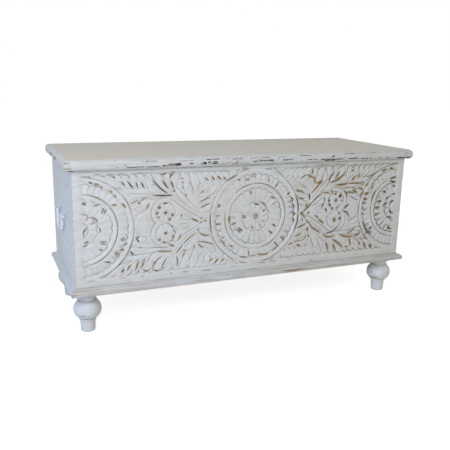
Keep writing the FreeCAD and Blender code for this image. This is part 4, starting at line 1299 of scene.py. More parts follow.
@dataclass
class CarvedFront:
    """The front board with its whole and half rosettes, hearts, flowers, leaf sprays and knife strokes.

    The carving is a height over the board's face on a square grid. Its motifs are folded about both middles,
    and the knife strokes, which no two quarters share, are laid over them one by one.
    """

    finish: Finish
    backing_finish: Finish
    cell: float = 1.0
    strips: int = 4
    backing: float = 10.0
    border_side: float = 17.0
    border_top: float = 11.0
    border_bottom: float = 20.0
    border_slope: float = 4.0
    side_slope: float = 14.0
    arris: float = 1.6
    carve_depth: float = 7.0
    ground: float = 3.6
    root: float = 1.2
    side_width: float = 1.7
    dip: float = 1.5
    tool_round: float = 0.65
    firmness: Ripples = (Ripple(48.0, 0.36, 21), Ripple(17.0, 0.20, 22))
    hand_along: Ripples = (Ripple(46.0, 1.7, 3), Ripple(14.0, 0.4, 4))
    hand_up: Ripples = (Ripple(52.0, 1.7, 5), Ripple(15.0, 0.4, 6))
    tool_marks: Ripples = (Ripple(7.0, 0.16, 7), Ripple(19.0, 0.12, 8))
    press: Triple = (0.10, 0.90, 0.50)
    # Factor on the grey of the hollows along the board, least at the left end and most at the right: painted
    # shade that makes the right end darker.
    shade_and_grime: Triple = (0.30, 1.0, 0.75)
    tone_change: float = 0.2
    side_cut: float = 3.0
    side_drop: float = 5.0
    whole: Rosette = Rosette((OUTER_PETALS, INNER_PETALS, MIDDLE_PETALS), 0.076, True)
    half: Rosette = Rosette((replace(OUTER_PETALS, count=42), INNER_PETALS,
                             replace(MIDDLE_PETALS, root=0.1305)), 0.145, False)
    heart: Heart = Heart()
    border_line: Passes = (Knife(1.6, 0.36, 0.7),)
    border_line_start: Pair = (20.0, 60.0)
    hollow_spread: float = 2.6
    hollow_depths: Pair = (0.15, 2.2)
    ground_spread: float = 7.0
    ground_depths: Pair = (0.2, 2.0)
    ground_shade: float = 0.42
    ridge_rub: float = 0.62
    ridge_heights: Pair = (0.35, 1.5)
    edge_reach: Pair = (0.5, 2.4)
    knife_blur: float = 0.55
    soot_blur: float = 1.0
    sharp_angle: float = 75.0

    def __post_init__(self) -> None:
        """Take the board's own box and the carved field from the frame."""
        self.low, self.high = box_mm("front_panel")
        self.half_x = float(self.high[0])
        self.field_half = self.half_x - self.border_side
        bottom = self.low[2] + self.border_bottom
        top = self.high[2] - self.border_top
        self.half_field = float(top - bottom) / 2
        self.z_mid = float(top + bottom) / 2
        self.spacing = self.field_half - self.side_cut

    def along_board(self, x: Array, change: Triple) -> Array:
        """Return a factor that changes evenly from the board's middle to its ends.

        Args:
            x: Places along the board.
            change: What is lost at the left end, the factor at the middle and the gain at the right end.

        Returns:
            The factor at each place.
        """
        share = x / self.half_x
        lost, middle, gained = change
        return middle + lost * np.minimum(share, 0.0) + gained * np.maximum(share, 0.0)

    def carve(self, x: Array, w: Array) -> tuple[Array, Relief]:
        """Carve the field.

        Args:
            x: Places along the board.
            w: Places up from the field's middle.

        Returns:
            Heights over the carving's deepest ground, with the border's flat face at the full depth, and the
            relief with its cuts.
        """
        chance = 0.5 + sum(ripple.over(x, w) for ripple in self.firmness)
        for place_x, place_w, radius, change in WORN_PLACES:
            chance = chance + change * bell(np.hypot(x - place_x, w - place_w), 0.0, radius)
        plain_x, plain_w = x, w
        x = x + sum(ripple.over(x, w) for ripple in self.hand_along)
        w = w + sum(ripple.over(x, w) for ripple in self.hand_up)
        tone = self.tone_change * x / self.half_x
        relief = Relief(chance, self.along_board(x, self.press), tone, self.root, self.side_width)
        fold_x, fold_w = np.abs(x), np.abs(w)
        for motif in (*SPRAYS, self.heart):
            motif.add_to(relief, fold_x, fold_w, (self.spacing, self.half_field))
        self.whole.add_to(relief, x, w, self.half_field)
        self.half.add_to(relief, self.spacing - fold_x, w + self.side_drop, self.half_field)
        quarters = [FINE_LINES.mirrored(side, end) for side in (1.0, -1.0) for end in (1.0, -1.0)]
        for cuts in (*quarters, RING_CUTS, DARK_CUTS, BROWN_CUTS):
            relief.lay(plain_x, plain_w, cuts)
        inside = smooth(self.half_field - fold_w, 0.0, self.border_slope)
        inside = inside * smooth(self.field_half - fold_x, 0.0, self.side_slope)
        relief.cut = relief.cut * inside
        run = smooth(self.field_half - fold_x, *self.border_line_start)
        relief.score(self.half_field - fold_w, self.border_line, run)
        relief.lay(plain_x, plain_w, BORDER_CUTS)
        carved = relief.heights(self.ground, self.dip) + sum(ripple.over(x, w) for ripple in self.tool_marks)
        return self.carve_depth + inside * (carved - self.carve_depth), relief

    def build(self) -> None:
        """Build the carved strips and the plain backing board behind them."""
        count = self.strips * round(2 * self.half_x / self.cell / self.strips)
        x = np.linspace(-self.half_x, self.half_x, count + 1)
        z = np.arange(round((self.high[2] - self.low[2]) / self.cell) + 1) * self.cell + self.low[2]
        grid_x, grid_z = np.meshgrid(x, z, indexing="ij")
        carved, relief = self.carve(grid_x, grid_z - self.z_mid)
        height = soften(carved, self.tool_round)
        edge = np.minimum.reduce([self.half_x - np.abs(grid_x), self.high[2] - grid_z, grid_z - self.low[2]])
        hollow = soften(height, self.hollow_spread / self.cell) - height
        low_ground = soften(height, self.ground_spread / self.cell) - height
        # Grey in narrow hollows is grime with painted shade, and grey over low ground is painted shade
        # alone.
        crevice = np.maximum(smooth(hollow, *self.hollow_depths),
                             self.ground_shade * smooth(low_ground, *self.ground_depths))
        ridge = smooth(-hollow, *self.ridge_heights) + 1 - smooth(edge, *self.edge_reach)
        shares = {"crevice": self.along_board(grid_x, self.shade_and_grime) * crevice,
                  "knife": soften(relief.cut, self.knife_blur),
                  "soot": soften(relief.soot, self.soot_blur),
                  "rub": self.ridge_rub * ridge}
        round_over = self.arris * (1.0 - quarter_round(edge / self.arris))
        depth = self.low[1] + self.carve_depth - np.minimum(height, self.carve_depth) + round_over
        points = np.stack([grid_x, depth, grid_z], -1)
        back = float(self.high[1]) - self.backing
        for strip, start in enumerate(range(0, count, count // self.strips)):
            part = slice(start, start + count // self.strips + 1)
            surface = Surface.plaque(points[part], back)
            behind = np.zeros(len(surface.points) - points[part, :, 0].size)
            surface.fields = {key: np.append(values[part], behind) for key, values in shares.items()}
            name = "carved_front_{}".format(strip + 1)
            surface.piece(name, self.finish, "front_panel", self.sharp_angle)
        self.build_backing(back)

    def build_backing(self, face: float) -> None:
        """Build the plain board behind the carving, bare on its inner side.

        Args:
            face: Where the carved strips end along Y.
        """
        across = np.linspace(box_mm("left_end_panel")[1][0], box_mm("right_end_panel")[0][0], 40)
        x, z = np.meshgrid(across, np.linspace(self.low[2], self.high[2], 16), indexing="ij")
        inner, outer = (np.stack([x, np.full_like(x, y), z], -1) for y in (self.high[1], face))
        surface = Surface.slab(inner, outer)
        surface.piece("front_backing_board", self.backing_finish, "front_panel")


# Lid

# Worn marks on the front nose and on the left end: start and end along the edge, height over the lid's
# underside and half thickness in millimetres, and how dark the wood in it is
NOSE_MARKS: Rows = (
    (-407, -362, 8, 1.7, 0.9), (-351, -313, 7.5, 1.7, 0.9), (-305, -262, 8.5, 2, 0.9),
    (-290, -254, 12, 2.2, 0.9), (-282, -270, 14.5, 1.7, 0.8), (-262, -254, 10, 3.2, 0.9),
    (-224, -215, 12, 1.8, 0.9), (-188, -178, 11, 3.6, 1), (-168, -161, 12.5, 2, 1),
    (-152, -142, 11, 3.6, 1), (-130, -40, 7.5, 1.3, 0.7), (-21, 52, 12.5, 1.8, 0.9), (78, 84, 13, 1.8, 0.9),
    (90, 96, 13.4, 1.8, 0.9), (101, 109, 14, 1.8, 0.9), (162, 198, 11.4, 2, 0.6), (216, 294, 9.4, 2.8, 1),
    (232, 262, 7, 3, 1), (319, 353, 10, 2.2, 1), (369, 375, 8.6, 2, 1), (385, 390, 8.6, 2, 1),
    (400, 406, 8.4, 2, 1), (420, 427, 8.4, 1.9, 1), (436, 445, 8.2, 1.9, 1), (462, 471, 8, 1.9, 1),
    (515, 580, 5.5, 3.4, 1), (-580, -559, 17, 2.4, 0), (-577, -563, 24, 2, 0), (-580, -560, 10, 1.7, 0.1),
    (-582, -556, 1.5, 2.4, 1), (-433, -400, 18, 1.3, 0.2), (-501, -486, 18, 1.3, 0.6),
    (-363, -325, 23, 1.5, 0.9), (-255, -215, 21, 1.1, 0.5), (-172, -137, 22.4, 1.8, 0.9),
    (-90, -50, 21.3, 1.7, 0.8), (-30, 30, 22.5, 1.1, 0.3), (60, 92, 22, 1.2, 0.4), (137, 176, 24, 1.4, 0.1),
    (254, 260, 20, 1.6, 0.9), (302, 340, 25.5, 1.4, 0), (352, 372, 25.5, 1.4, 0.1), (384, 435, 25.5, 1.3, 0))
END_MARKS: Rows = (
    (130, 150, 12, 1.6, 0.7), (40, 95, 14, 2.2, 0.9), (62, 82, 20, 1.8, 0.8), (-48, 6, 12, 2.2, 0.9),
    (-30, -10, 19, 1.6, 0.8), (-122, -92, 18, 1.5, 0.5), (-150, -132, 11, 1.5, 0.6),
    (-216, -192, 17, 2.2, 0))


@dataclass
class Lid:
    """Three boards with a half-round nose on the front and both ends, let in below for the hinges.

    Each board is two height sheets over one plan grid, joined round their edges.
    """

    finish: Finish
    nose: float = 13.0
    nose_steps: int = 15
    corner_power: int = 6
    rear_arris: float = 2.0
    joint_arris: float = 0.35
    joint_width: float = 0.9
    planed_off: float = 0.25
    pitch: float = 6.5
    marked_pitch: float = 2.0
    groove_radius: float = 4.6
    groove_end: float = 1.0
    step: float = 0.02
    leaf_thickness: float = 2.0
    bare_inset: float = 42.0
    top_rub: Triple = (0.06, 0.28, 0.74)
    under_rub: Triple = (0.08, 0.36, 0.76)
    top_warm_light: float = 0.6
    joint_grime: float = 0.35
    sharp_angle: float = 40.0
    front_steps: tuple[float, ...] = (0.5, 1.2, 2.4)
    rear_steps: tuple[float, ...] = (0.5, 1.2, 2.0, 2.4)
    groove_steps: int = 17
    nose_reach: Pair = (2.0, 12.0)
    low_reach: Pair = (1.0, 6.0)
    corner_reach: Pair = (4.0, 30.0)
    wave_reach: Pair = (4.0, 40.0)
    end_share: float = 0.8
    warm_light_start: float = 0.3
    mark_fade: Pair = (0.42, 1.22)
    mark_taper: float = 2.0
    top_wave: Ripple = Ripple(140.0, 0.22, 11)
    wear_cluster: Ripple = Ripple(70.0, 0.5, 13)

    def __post_init__(self) -> None:
        """Take the lid's box and its hinges from the frame."""
        self.low = box_mm("lid_front_board")[0]
        self.high = box_mm("lid_rear_board")[1]
        sides = ("left", "centre", "right")
        self.hinges = [box_mm("hinge_{}_lid_leaf".format(side)) for side in sides]
        self.pins = [box_mm("hinge_{}_pin".format(side)) for side in sides]
        self.nose_insets = self.nose * (1.0 - np.sin(np.linspace(0.0, math.pi / 2, self.nose_steps)))

    def columns(self, pitch: float) -> Array:
        """Return the grid's places along X, close together on the noses and at the hinge mortises.

        Args:
            pitch: Their spacing between the noses.

        Returns:
            The places in rising order.
        """
        rise = self.high[0] - self.nose_insets
        flat = np.linspace(-rise[0], rise[0], round(2 * rise[0] / pitch))
        leaves = [(low[0], high[0]) for low, high in self.hinges]
        grooves = [(low[0] - self.groove_end, high[0] + self.groove_end) for low, high in self.pins]
        sides = np.ravel(leaves + grooves)
        steps = np.append(sides - self.step, sides + self.step)
        return np.unique(np.concatenate([-rise, flat, rise, steps]).round(4))

    def rows(self, low: float, high: float) -> Array:
        """Return the grid's places along Y for one board.

        Args:
            low: The board's front edge.
            high: Its rear edge.

        Returns:
            Places that are close together on the nose, at joints and round the hinges.
        """
        places = [np.linspace(low, high, round((high - low) / self.pitch)),
                  low + np.array(self.front_steps), high - np.array(self.rear_steps)]
        if low < self.low[1] + 1.0:
            places.append(low + self.nose_insets)
        if high > self.high[1] - 1.0:
            leaf_front = self.hinges[0][0][1]
            axis = (self.pins[0][0][1] + self.pins[0][1][1]) / 2
            places.append(np.array([leaf_front - self.step, leaf_front + self.step]))
            turn = np.linspace(0.0, math.pi, self.groove_steps)
            places.append(axis + self.groove_radius * np.cos(turn))
        return np.unique(np.concatenate(places).round(4))

    def underside(self, x: Array, y: Array) -> Array:
        """Return how far the hinge mortises and barrel hollows go up into the lid.

        Args:
            x: Plan places along the lid.
            y: Plan places across it.

        Returns:
            Depths in millimetres.
        """
        depth = np.zeros_like(x)
        for (low, high), (pin_low, pin_high) in zip(self.hinges, self.pins):
            _, axis_y, axis_z = (pin_low + pin_high) / 2
            leaf = (x > low[0]) & (x < high[0]) & (y > low[1]) & (y < axis_y)
            depth = np.where(leaf, np.maximum(depth, self.leaf_thickness), depth)
            inside = (x > pin_low[0] - self.groove_end) & (x < pin_high[0] + self.groove_end)
            round_up = np.sqrt(np.clip(self.groove_radius ** 2 - (y - axis_y) ** 2, 0.0, None))
            hollow = np.where(inside & (round_up > 0), axis_z + round_up - self.low[2], 0.0)
            depth = np.maximum(depth, hollow)
        return depth

    def marks(self, x: Array, y: Array, z: Array) -> tuple[Array, Array]:
        """Lay the worn marks on the front and left noses, each fading over its thickness and past its ends.

        Args:
            x: Places along the lid.
            y: Places across it.
            z: Heights over its underside.

        Returns:
            How worn each place is, and how dark its wood is.
        """
        worn = np.zeros_like(x)
        soot = np.zeros_like(x)
        for along, inset, table in ((x, y - self.low[1], NOSE_MARKS), (y, x - self.low[0], END_MARKS)):
            for start, end, height, half, dark in table:
                past = np.maximum(np.maximum(start - along, along - end), 0.0)
                off = np.hypot(past / self.mark_taper, z - height) / half
                mark = (inset < self.nose) * (1 - smooth(off, *self.mark_fade))
                soot = np.where(mark > worn, dark, soot)
                worn = np.maximum(worn, mark)
        return worn, soot

    def build(self) -> None:
        """Build the three boards."""
        for name in ("lid_front_board", "lid_middle_board", "lid_rear_board"):
            low, high = box_mm(name)
            places = self.columns(self.marked_pitch if name == "lid_front_board" else self.pitch)
            self.build_board(name, places, low[1], high[1])

    def build_board(self, name: str, places: Array, front: float, rear: float) -> None:
        """Build one board. Its noses fall as r - sqrt(r^2 - (r - inset)^2), and join in a rounded corner.

        Args:
            name: The CAD node it stands for.
            places: Grid places along X.
            front: The board's front edge.
            rear: Its rear edge.
        """
        x, y = np.meshgrid(places, self.rows(front, rear), indexing="ij")
        from_end = self.high[0] - np.abs(x)
        from_front = y - self.low[1]
        from_rear = self.high[1] - y
        end_drop, front_drop = (self.nose * (1.0 - quarter_round(inset / self.nose))
                                for inset in (from_end, from_front))
        corner = (end_drop ** self.corner_power + front_drop ** self.corner_power) ** (1 / self.corner_power)
        rear_drop = np.clip(self.rear_arris - from_rear, 0.0, self.rear_arris)
        drop = np.maximum(np.minimum(corner, self.nose), rear_drop)
        from_joint = np.where(front > self.low[1] + 1.0, y - front, FAR)
        from_joint = np.minimum(from_joint, np.where(rear < self.high[1] - 1.0, rear - y, FAR))
        joint = bell(from_joint, 0.0, self.joint_width)
        wave = self.top_wave.over(x, y) * smooth(from_end, *self.wave_reach)
        top = self.high[2] - np.maximum(drop, self.planed_off + self.joint_arris * joint + wave)
        under = self.low[2] + np.maximum(drop, self.underside(x, y))
        nose = np.maximum(1 - smooth(from_front, *self.nose_reach),
                          self.end_share * (1 - smooth(from_end, *self.nose_reach)))
        cluster = 0.5 + self.wear_cluster.over(x, y)
        low_nose = (1 - smooth(from_front, *self.low_reach)) * smooth(from_end, *self.corner_reach)
        worn_top, soot_top = self.marks(x, y, top - self.low[2])
        worn_under, soot_under = self.marks(x, y, under - self.low[2])
        # The flat top is painted warmer than the cool nose: painted light, for the break in light between
        # the top and the nose.
        flat = smooth(np.minimum(from_front, from_end) / self.nose, self.warm_light_start, 1.0)
        inner = np.minimum.reduce([from_end, from_front, from_rear]) > self.bare_inset
        plain = np.zeros_like(x)
        rub = [np.maximum(least + nosed * place * cluster, marked * worn)
               for (least, nosed, marked), place, worn in ((self.top_rub, nose, worn_top),
                                                           (self.under_rub, low_nose, worn_under))]
        fields = {"rub": rub,
                  "soot": (soot_top, soot_under),
                  "warm": (self.top_warm_light * flat, plain),
                  "crevice": (self.joint_grime * joint, plain),
                  "bare": (plain, inner)}
        surface = Surface.slab(np.stack([x, y, top], -1), np.stack([x, y, under], -1))
        surface.fields = {key: np.append(over, below) for key, (over, below) in fields.items()}
        shown = name.replace("lid_", "whitewashed_lid_")
        surface.piece(shown, self.finish, name, self.sharp_angle, Body.LID)


# Base frame

@dataclass
class BaseFrame:
    """Four mitred rails with a cove over a rounded nose, which stand out round the carcass.

    A rail is its closed section carried along the chest, each point's run ending on the mitre.
    """

    finish: Finish
    end_finish: Finish
    overhang: float = 16.0
    nose_height: float = 8.5
    under_cut: float = 2.5
    cove_out: float = 9.5
    cove_drop: float = 4.5
    rail_width: float = 96.0
    lift: float = 0.2
    pitch: float = 5.0
    front_crease: float = 0.72
    end_crease: float = 0.15
    lower_edge_rub_and_shade: float = 0.80
    nose_rub: float = 0.62
    even_rub: float = 0.68
    mitre_rub: float = 0.20
    cove_shade_and_grime: float = 0.26
    rub_spreads: Triple = (3.0, 2.6, 0.9)
    edge_reach: Pair = (2.0, 10.0)
    mitre_reach: Pair = (-6.0, 14.0)
    cove_line: Pair = (0.4, 1.0)
    sharp_angle: float = 38.0
    nose_wave: Ripple = Ripple(38.0, 0.35, 17)
    wear_cluster: Ripple = Ripple(60.0, 0.34, 19)

    def __post_init__(self) -> None:
        """Take the carcass's and the rails' places from the frame."""
        low, high = box_mm("base_rail_front")
        self.z_low = low[2]
        self.z_high = high[2]
        self.reach_x = high[0] - self.overhang
        self.reach_y = -low[1] - self.overhang

    def section(self, crease_rub: float) -> tuple[Array, Array]:
        """Return the rail's closed section and its rub.

        Args:
            crease_rub: Rub along the crease between cove and nose.

        Returns:
            Points as (distance out from the carcass, height), and the rub at each.
        """
        nose = self.overhang
        under = nose - self.under_cut
        inner = nose - self.rail_width
        z_nose = self.z_low + self.nose_height
        z_cove = self.z_high - self.cove_drop
        z_under = self.z_low + self.lift
        cove = arc((0.0, self.z_high), (0.4 * self.cove_out, self.z_high - 0.7 * self.cove_drop),
                   (self.cove_out, z_cove), 9)
        swell = arc((self.cove_out, z_cove), (0.88 * nose, (z_cove + z_nose) / 2 + 1.0), (nose, z_nose), 12)
        tuck = arc((nose, z_nose), (nose - 0.2 * self.under_cut, (z_nose + self.z_low) / 2),
                   (under, self.z_low), 10)
        tuck[:, 1] = np.maximum(tuck[:, 1], z_under)
        flat = np.linspace((inner, self.z_high), (0.0, self.z_high), 8)[:-1]
        below = np.linspace((under, z_under), (inner, z_under), 8)
        points = np.concatenate([flat, cove, swell[1:], tuck[1:], below[1:]])
        out, height = points.T
        at_crease, at_foot, at_nose = self.rub_spreads
        crease = crease_rub * bell(np.hypot(out - self.cove_out, height - z_cove), 0.0, at_crease)
        # Dark line along the rail's bottom edge: wear, and painted shade under the nose.
        lower = self.lower_edge_rub_and_shade * bell(height, self.z_low, at_foot) * (out > 0)
        return points, np.maximum.reduce([crease, lower, self.nose_rub * bell(out, nose, at_nose)])

    def build(self) -> None:
        """Build the four rails: at share t of its run, a point out by o stands at t (half run + o)."""
        for name, along_x, side in (("front", True, -1.0), ("back", True, 1.0),
                                    ("left", False, -1.0), ("right", False, 1.0)):
            section, rub = self.section(self.front_crease if along_x else self.end_crease)
            run, stand = (self.reach_x, self.reach_y) if along_x else (self.reach_y, self.reach_x)
            share = np.linspace(-1.0, 1.0, round(2 * run / self.pitch))
            out, height = (np.tile(values, (len(share), 1)) for values in section.T)
            along = share[:, None] * (run + out)
            edge = smooth(out, *self.edge_reach)
            across = side * (stand + out - np.abs(self.nose_wave.over(along, height) * edge))
            places = (along, across, height) if along_x else (across, along, height)
            surface = Surface.sweep(np.stack(places, -1))
            cluster = self.even_rub + self.wear_cluster.over(along, out)
            ends = self.mitre_rub * smooth(np.abs(along) - run, *self.mitre_reach) * edge
            # Grey in the inside corner where the cove meets the panel: painted shade, with grime.
            crease = bell(out, *self.cove_line) * (height > self.z_low + self.nose_height)
            surface.fields = {"rub": rub * cluster + ends, "crevice": self.cove_shade_and_grime * crease}
            finish = self.finish if along_x else self.end_finish
            surface.piece("moulded_rail_" + name, finish, "base_rail_" + name, self.sharp_angle)


# Turned feet

# Worn places of the front feet: angle and half its spread in degrees, height and half its spread as shares
# of the foot's height, and strength
FOOT_SMUDGES: dict[str, Rows] = {
    "front_left": ((-110, 34, 0.478, 0.022, 0.62), (-112, 40, 0.368, 0.014, 0.7)),
    "front_right": ((-158, 46, 0.430, 0.026, 0.86), (-128, 16, 0.52, 0.02, 0.5))}


@dataclass
class TurnedFeet:
    """Four lathe-turned feet: a straight toe, a bead, a full bulb, a hollow neck and a collar.

    The profile is lines and arcs of (radius, height), turned about the foot's own axis. Rubbed places are
    shares of the height with their spread and strength, and creases are shares of the height.
    """

    finish: Finish
    lit_right_finish: Finish
    toe: float = 22.5
    neck: float = 25.6
    bulb: float = 41.0
    collar: float = 37.5
    around: int = 96
    rubbed: Rows = ((0.40, 0.05, 0.42), (0.55, 0.08, 0.3), (0.302, 0.018, 0.3), (0.0, 0.03, 0.5))
    creases: tuple[float, ...] = (0.275, 0.33, 0.766, 0.794, 0.911)
    crease_width: float = 0.008
    crease_shade_and_grime: float = 0.55
    sharp_angle: float = 42.0

    def profile(self, tall: float) -> Array:
        """Return the profile's points from the underside to the top.

        Args:
            tall: The foot's height.

        Returns:
            Points as (radius, height).
        """
        def at(radius: float, share: float) -> Pair:
            """Return a point by its radius and its share of the height."""
            return radius, share * tall

        toe, neck, collar = self.toe, self.neck, self.collar
        bead_end = at(toe + 1.0, 0.33)
        bulb_end = at(neck + 1.4, 0.766)
        return np.concatenate([
            np.array([at(4.0, 0.0), at(12.0, 0.0)]),
            arc(at(toe - 5.5, 0.0), at(toe - 2.2, 0.014), at(toe - 1.0, 0.05), 6),
            np.linspace(at(toe - 1.0, 0.05), at(toe, 0.275), 14)[1:],
            arc(at(toe, 0.275), at(toe + 2.8, 0.302), bead_end, 12)[1:],
            arc(bead_end, at(self.bulb, 0.545), bulb_end, 44)[1:],
            np.array([at(neck + 2.4, 0.766), at(neck + 2.8, 0.771), at(neck + 2.8, 0.789),
                      at(neck + 2.4, 0.794)]),
            arc(at(neck + 0.9, 0.794), at(neck, 0.842), at(collar - 3.5, 0.911), 16),
            arc(at(collar - 2.5, 0.911), at(collar, 0.956), at(collar - 2.0, 1.0), 12),
            np.array([at(12.0, 1.0)])])

    def build(self) -> None:
        """Build the four feet."""
        turn = np.linspace(0.0, 2 * math.pi, self.around, endpoint=False)
        for name in ("front_left", "front_right", "back_left", "back_right"):
            low, high = box_mm("foot_" + name)
            middle = (low + high) / 2
            points = self.profile(high[2])
            radius, height = (np.repeat(values[:, None], self.around, axis=1) for values in points.T)
            share = height / high[2]
            rub = np.maximum.reduce([strength * bell(share, place, spread)
                                     for place, spread, strength in self.rubbed])
            for angle, spread, place, half, strength in FOOT_SMUDGES.get(name, ()):
                off = (np.degrees(turn) - angle + 180.0) % 360.0 - 180.0
                rub = np.maximum(rub, strength * np.exp(-(off / spread) ** 4) * bell(share, place, half))
            # Grey lines in the turned creases: painted shade, with grime.
            lines = np.maximum.reduce([bell(share, place, self.crease_width) for place in self.creases])
            x, y = middle[0] + radius * np.cos(turn), middle[1] + radius * np.sin(turn)
            surface = Surface.sweep(np.stack([x, y, height], -1))
            surface.fields = {"rub": rub, "crevice": self.crease_shade_and_grime * lines}
            # The front right foot takes a lighter copy of the paint: painted light.
            finish = self.lit_right_finish if name == "front_right" else self.finish
            surface.piece("turned_foot_" + name, finish, "foot_" + name, self.sharp_angle)


# Plain boards and ironwork keep the CAD shapes

# Planes of the plain boards where bare wood starts: axis, last of the paint and first of the wood
BACK_INSIDE = (1, 188.0, 186.0)
LEFT_INSIDE = (0, -545.0, -543.0)
RIGHT_INSIDE = (0, 545.0, 543.0)


@dataclass
class DressedNodes:
    """CAD nodes, by name, whose shape is right and which get a finish."""

    finish: Finish
    nodes: list[str]

    def build(self) -> None:
        """Put the finish on every node."""
        for name in self.nodes:
            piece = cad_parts[name]
            piece.data.materials.clear()
            piece.data.materials.append(self.finish.material())
            LOG.info("%s: %s", name, self.finish.name)


# Studio

@dataclass(frozen=True)
class Lamp:
    """A square soft lamp that faces the chest: place and side in metres, power in watts and tint."""

    name: str
    place: Triple
    size: float
    power: float
    tint: str


@dataclass
class Studio:
    """A pale floor, soft lamps, even pale surroundings and the camera, in metres.

    A large lamp to the upper left gives most of the light. A bluish one lights the left end, a warm one
    fills the right of the front, and a low one lights the back.
    """

    lens: float = 46.84
    camera_place: Triple = (-0.7902, -1.7953, 0.7215)
    look_at: Triple = (-0.0173, 0.0, 0.2432)
    roll_degrees: float = 1.17
    floor_size: float = 30.0
    floor_height: float = -0.0005
    floor_colour: str = "#E4E4E4"
    floor_glow: float = 0.80
    white: str = "#FFFFFF"
    ambient: str = "#CDCDC4"
    ambient_strength: float = 0.50
    lamps_face: Triple = (0.0, 0.0, 0.3)
    lamps: tuple[Lamp, ...] = (Lamp("window_lamp", (-1.3, -1.75, 1.45), 1.3, 31.5, "#F0F3FF"),
                               Lamp("sky_lamp", (-1.8, -0.62, 0.7), 1.0, 3.4, "#8CB6FF"),
                               Lamp("fill_lamp", (1.7, -2.5, 0.3), 1.4, 4.6, "#FFD69A"),
                               Lamp("rear_lamp", (2.0, 2.4, 0.22), 0.6, 9.0, "#FFF6EA"))

    def build(self) -> None:
        """Build the floor, the lamps, the surroundings and the camera."""
        self.build_floor()
        for lamp in self.lamps:
            self.build_lamp(lamp)
        self.build_world()
        self.build_camera()
        bpy.context.scene.view_settings.view_transform = "Standard"

    def build_floor(self) -> None:
        """Build the floor: pale, matt, and lifted to white where the camera sees it lit."""
        half = self.floor_size / 2
        plan = ((-half, -half), (half, -half), (half, half), (-half, half))
        mesh = bpy.data.meshes.new("studio_floor")
        mesh.from_pydata([(*corner, self.floor_height) for corner in plan], [], [(0, 1, 2, 3)])
        floor = add_object("studio_floor", mesh)
        material = bpy.data.materials.new("matt_white_paper")
        tree = blank_tree(material)
        matt = add_node(tree, "BsdfDiffuse", {"Color": self.floor_colour})
        glow = add_node(tree, "Emission", {"Color": self.white},
                        {"Strength": self.seen_share(tree, self.floor_glow)})
        both = add_node(tree, "AddShader", links={0: matt, 1: glow})
        add_node(tree, "OutputMaterial", links={"Surface": both})
        mesh.materials.append(material)

    def seen_share(self, tree: Tree, strength: float) -> Node:
        """Return a strength that only camera, glossy and transmission rays meet.

        Args:
            tree: Node tree.
            strength: The strength for those rays.

        Returns:
            The strength's node.
        """
        seen = add_node(tree, "LightPath").outputs
        either = add_node(tree, "Math", {"operation": "MAXIMUM"},
                          {0: seen["Is Camera Ray"], 1: seen["Is Glossy Ray"]})
        every = add_node(tree, "Math", {"operation": "MAXIMUM"}, {0: either, 1: seen["Is Transmission Ray"]})
        return add_node(tree, "Math", {"operation": "MULTIPLY", 1: strength}, {0: every})

    def aim(self, made: bpy.types.Object, place: Triple, target: Triple) -> None:
        """Stand a lamp or the camera at a place and turn it to a target.

        Args:
            made: The object.
            place: Where it stands.
            target: What it faces.
        """
        made.location = place
        made.rotation_mode = "QUATERNION"
        made.rotation_quaternion = (Vector(target) - Vector(place)).to_track_quat("-Z", "Y")

    def build_lamp(self, lamp: Lamp) -> None:
        """Build one lamp that the camera doesn't see.

        Args:
            lamp: The lamp.
        """
        light = bpy.data.lights.new(lamp.name, "AREA")
        light.energy = lamp.power
        light.size = lamp.size
        light.color = linear(lamp.tint)[:3]
        made = add_object(lamp.name, light)
        self.aim(made, lamp.place, self.lamps_face)
        made.visible_camera = False

    def build_world(self) -> None:
        """Build the surroundings: even pale light, seen as white by the camera."""
        world = bpy.data.worlds.new("studio_surround")
        bpy.context.scene.world = world
        tree = blank_tree(world)
        white = add_node(tree, "Background", {"Color": self.white, "Strength": 1.0})
        light = add_node(tree, "Background", {"Color": self.ambient, "Strength": self.ambient_strength})
        both = add_node(tree, "MixShader", links={0: self.seen_share(tree, 1.0), 1: light, 2: white})
        add_node(tree, "OutputWorld", links={"Surface": both})

    def build_camera(self) -> None:
        """Build the camera at the photograph's viewing angle."""
        camera = bpy.data.cameras.new("camera")
        camera.lens = self.lens
        made = add_object("camera", camera)
        self.aim(made, self.camera_place, self.look_at)
        roll = Quaternion((0.0, 0.0, 1.0), math.radians(self.roll_degrees))
        made.rotation_quaternion = made.rotation_quaternion @ roll
        bpy.context.scene.camera = made


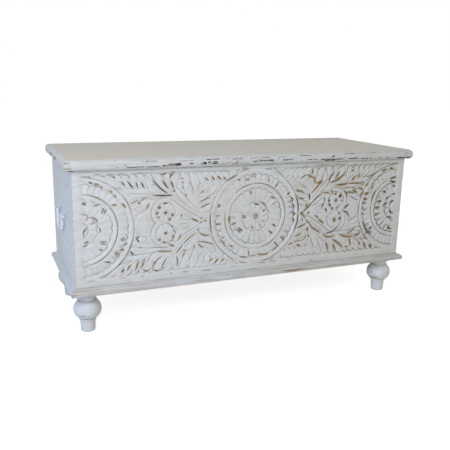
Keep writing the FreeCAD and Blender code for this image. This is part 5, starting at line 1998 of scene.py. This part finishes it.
def main() -> None:
    """Build and dress every sub-assembly in order."""
    logging.basicConfig(level=logging.INFO, format="%(message)s")
    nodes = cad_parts
    carved = WhitewashedMango("whitewashed_mango_carved", patch_size=60.0, warmth=0.2, streak=0.18,
                              brush_depth=0.2)
    # The lid's cool paint on the nose and warm paint on its flat top are painted light.
    lid = WhitewashedMango("whitewashed_mango_lid", wood_light="#A07C48", wood_dark="#382C22",
                           paint="#D2D8DA", paint_warm="#E0D9CC", warmth=0.2, streak=0.5,
                           scratch_length=14.0, scratch_edge=0.05)
    base = WhitewashedMango("whitewashed_mango_base", wood_light="#B18F5C", streak=0.8, streak_width=2.6,
                            paint="#D2DADF", paint_warm="#CCCCCA", paint_thin="#A99F8F", scratch_length=80.0)
    # The end rails' bluer paint is painted light: the cool light on the left end.
    base_end = WhitewashedMango("whitewashed_mango_base_end", grain=Grain.DEPTH, wood_light="#7E6046",
                                streak=0.2, scratch_length=24.0, paint="#D2DCE4", paint_warm="#CBD3DA")
    feet = WhitewashedMango("whitewashed_mango_turned", wood_light="#6F5238", wood_dark="#33261C",
                            paint="#DAE0E4", scratch_length=16.0, warmth=0.2, streak=0.08, brush_depth=0.1)
    # A lighter copy of the feet's paint for the front right foot: painted light.
    lit_right_foot = replace(feet, name="whitewashed_mango_turned_painted_lit", paint="#F0F5F9", paint_warm="#E4E4E2")
    back = WhitewashedMango("whitewashed_mango_back", wear=0.18, inside=BACK_INSIDE)
    # The end boards' bluer paint is painted light: the cool light on the left end. The right end copies it.
    left_end = WhitewashedMango("whitewashed_mango_left_end", grain=Grain.DEPTH, wear=0.22, streak=0.15,
                                paint="#D2DCE4", paint_warm="#CBD0D6", wood_light="#8C8378",
                                wood_dark="#5E544B", scratch_length=26.0, scratch_width=11.0,
                                inside=LEFT_INSIDE)
    right_end = replace(left_end, name="whitewashed_mango_right_end", inside=RIGHT_INSIDE)
    bare = BareMango("bare_mango")
    bare_across = BareMango("bare_mango_across", grain=Grain.DEPTH)
    iron = PaintedIron("whitewashed_iron")
    # The staples and nail heads take the end boards' bluer paint, with the same painted light.
    dull_iron = PaintedIron("whitewashed_iron_fixings", paint="#D0DAE2", haze="#C3CCD4")
    nail_heads = replace(dull_iron, name="whitewashed_nail_heads", slot=Slot.STEEL)
    steel = DullSteel("dull_mild_steel")

    CarvedFront(carved, bare).build()
    Lid(lid).build()
    BaseFrame(base, base_end).build()
    TurnedFeet(feet, lit_right_foot).build()
    along = ("floor_board", "foot_block", "floor_cleat_front", "floor_cleat_back")
    across = ("lid_batten", "floor_cleat_left", "floor_cleat_right")
    for finish, starts, ends in ((back, "back_panel", ""), (left_end, "left_end_panel", ""),
                                 (right_end, "right_end_panel", ""), (bare, along, ""),
                                 (bare_across, across, ""), (iron, "", "handle_bail"),
                                 (dull_iron, "", "handle_staples"), (nail_heads, "carcass_nails", ""),
                                 (steel, "hinge_", ""), (steel, "", ("screws", "bolts", "nuts"))):
        named = [name for name in nodes if name.startswith(starts) and name.endswith(ends)]
        DressedNodes(finish, named).build()
    Studio().build()


if __name__ == "__main__":
    main()
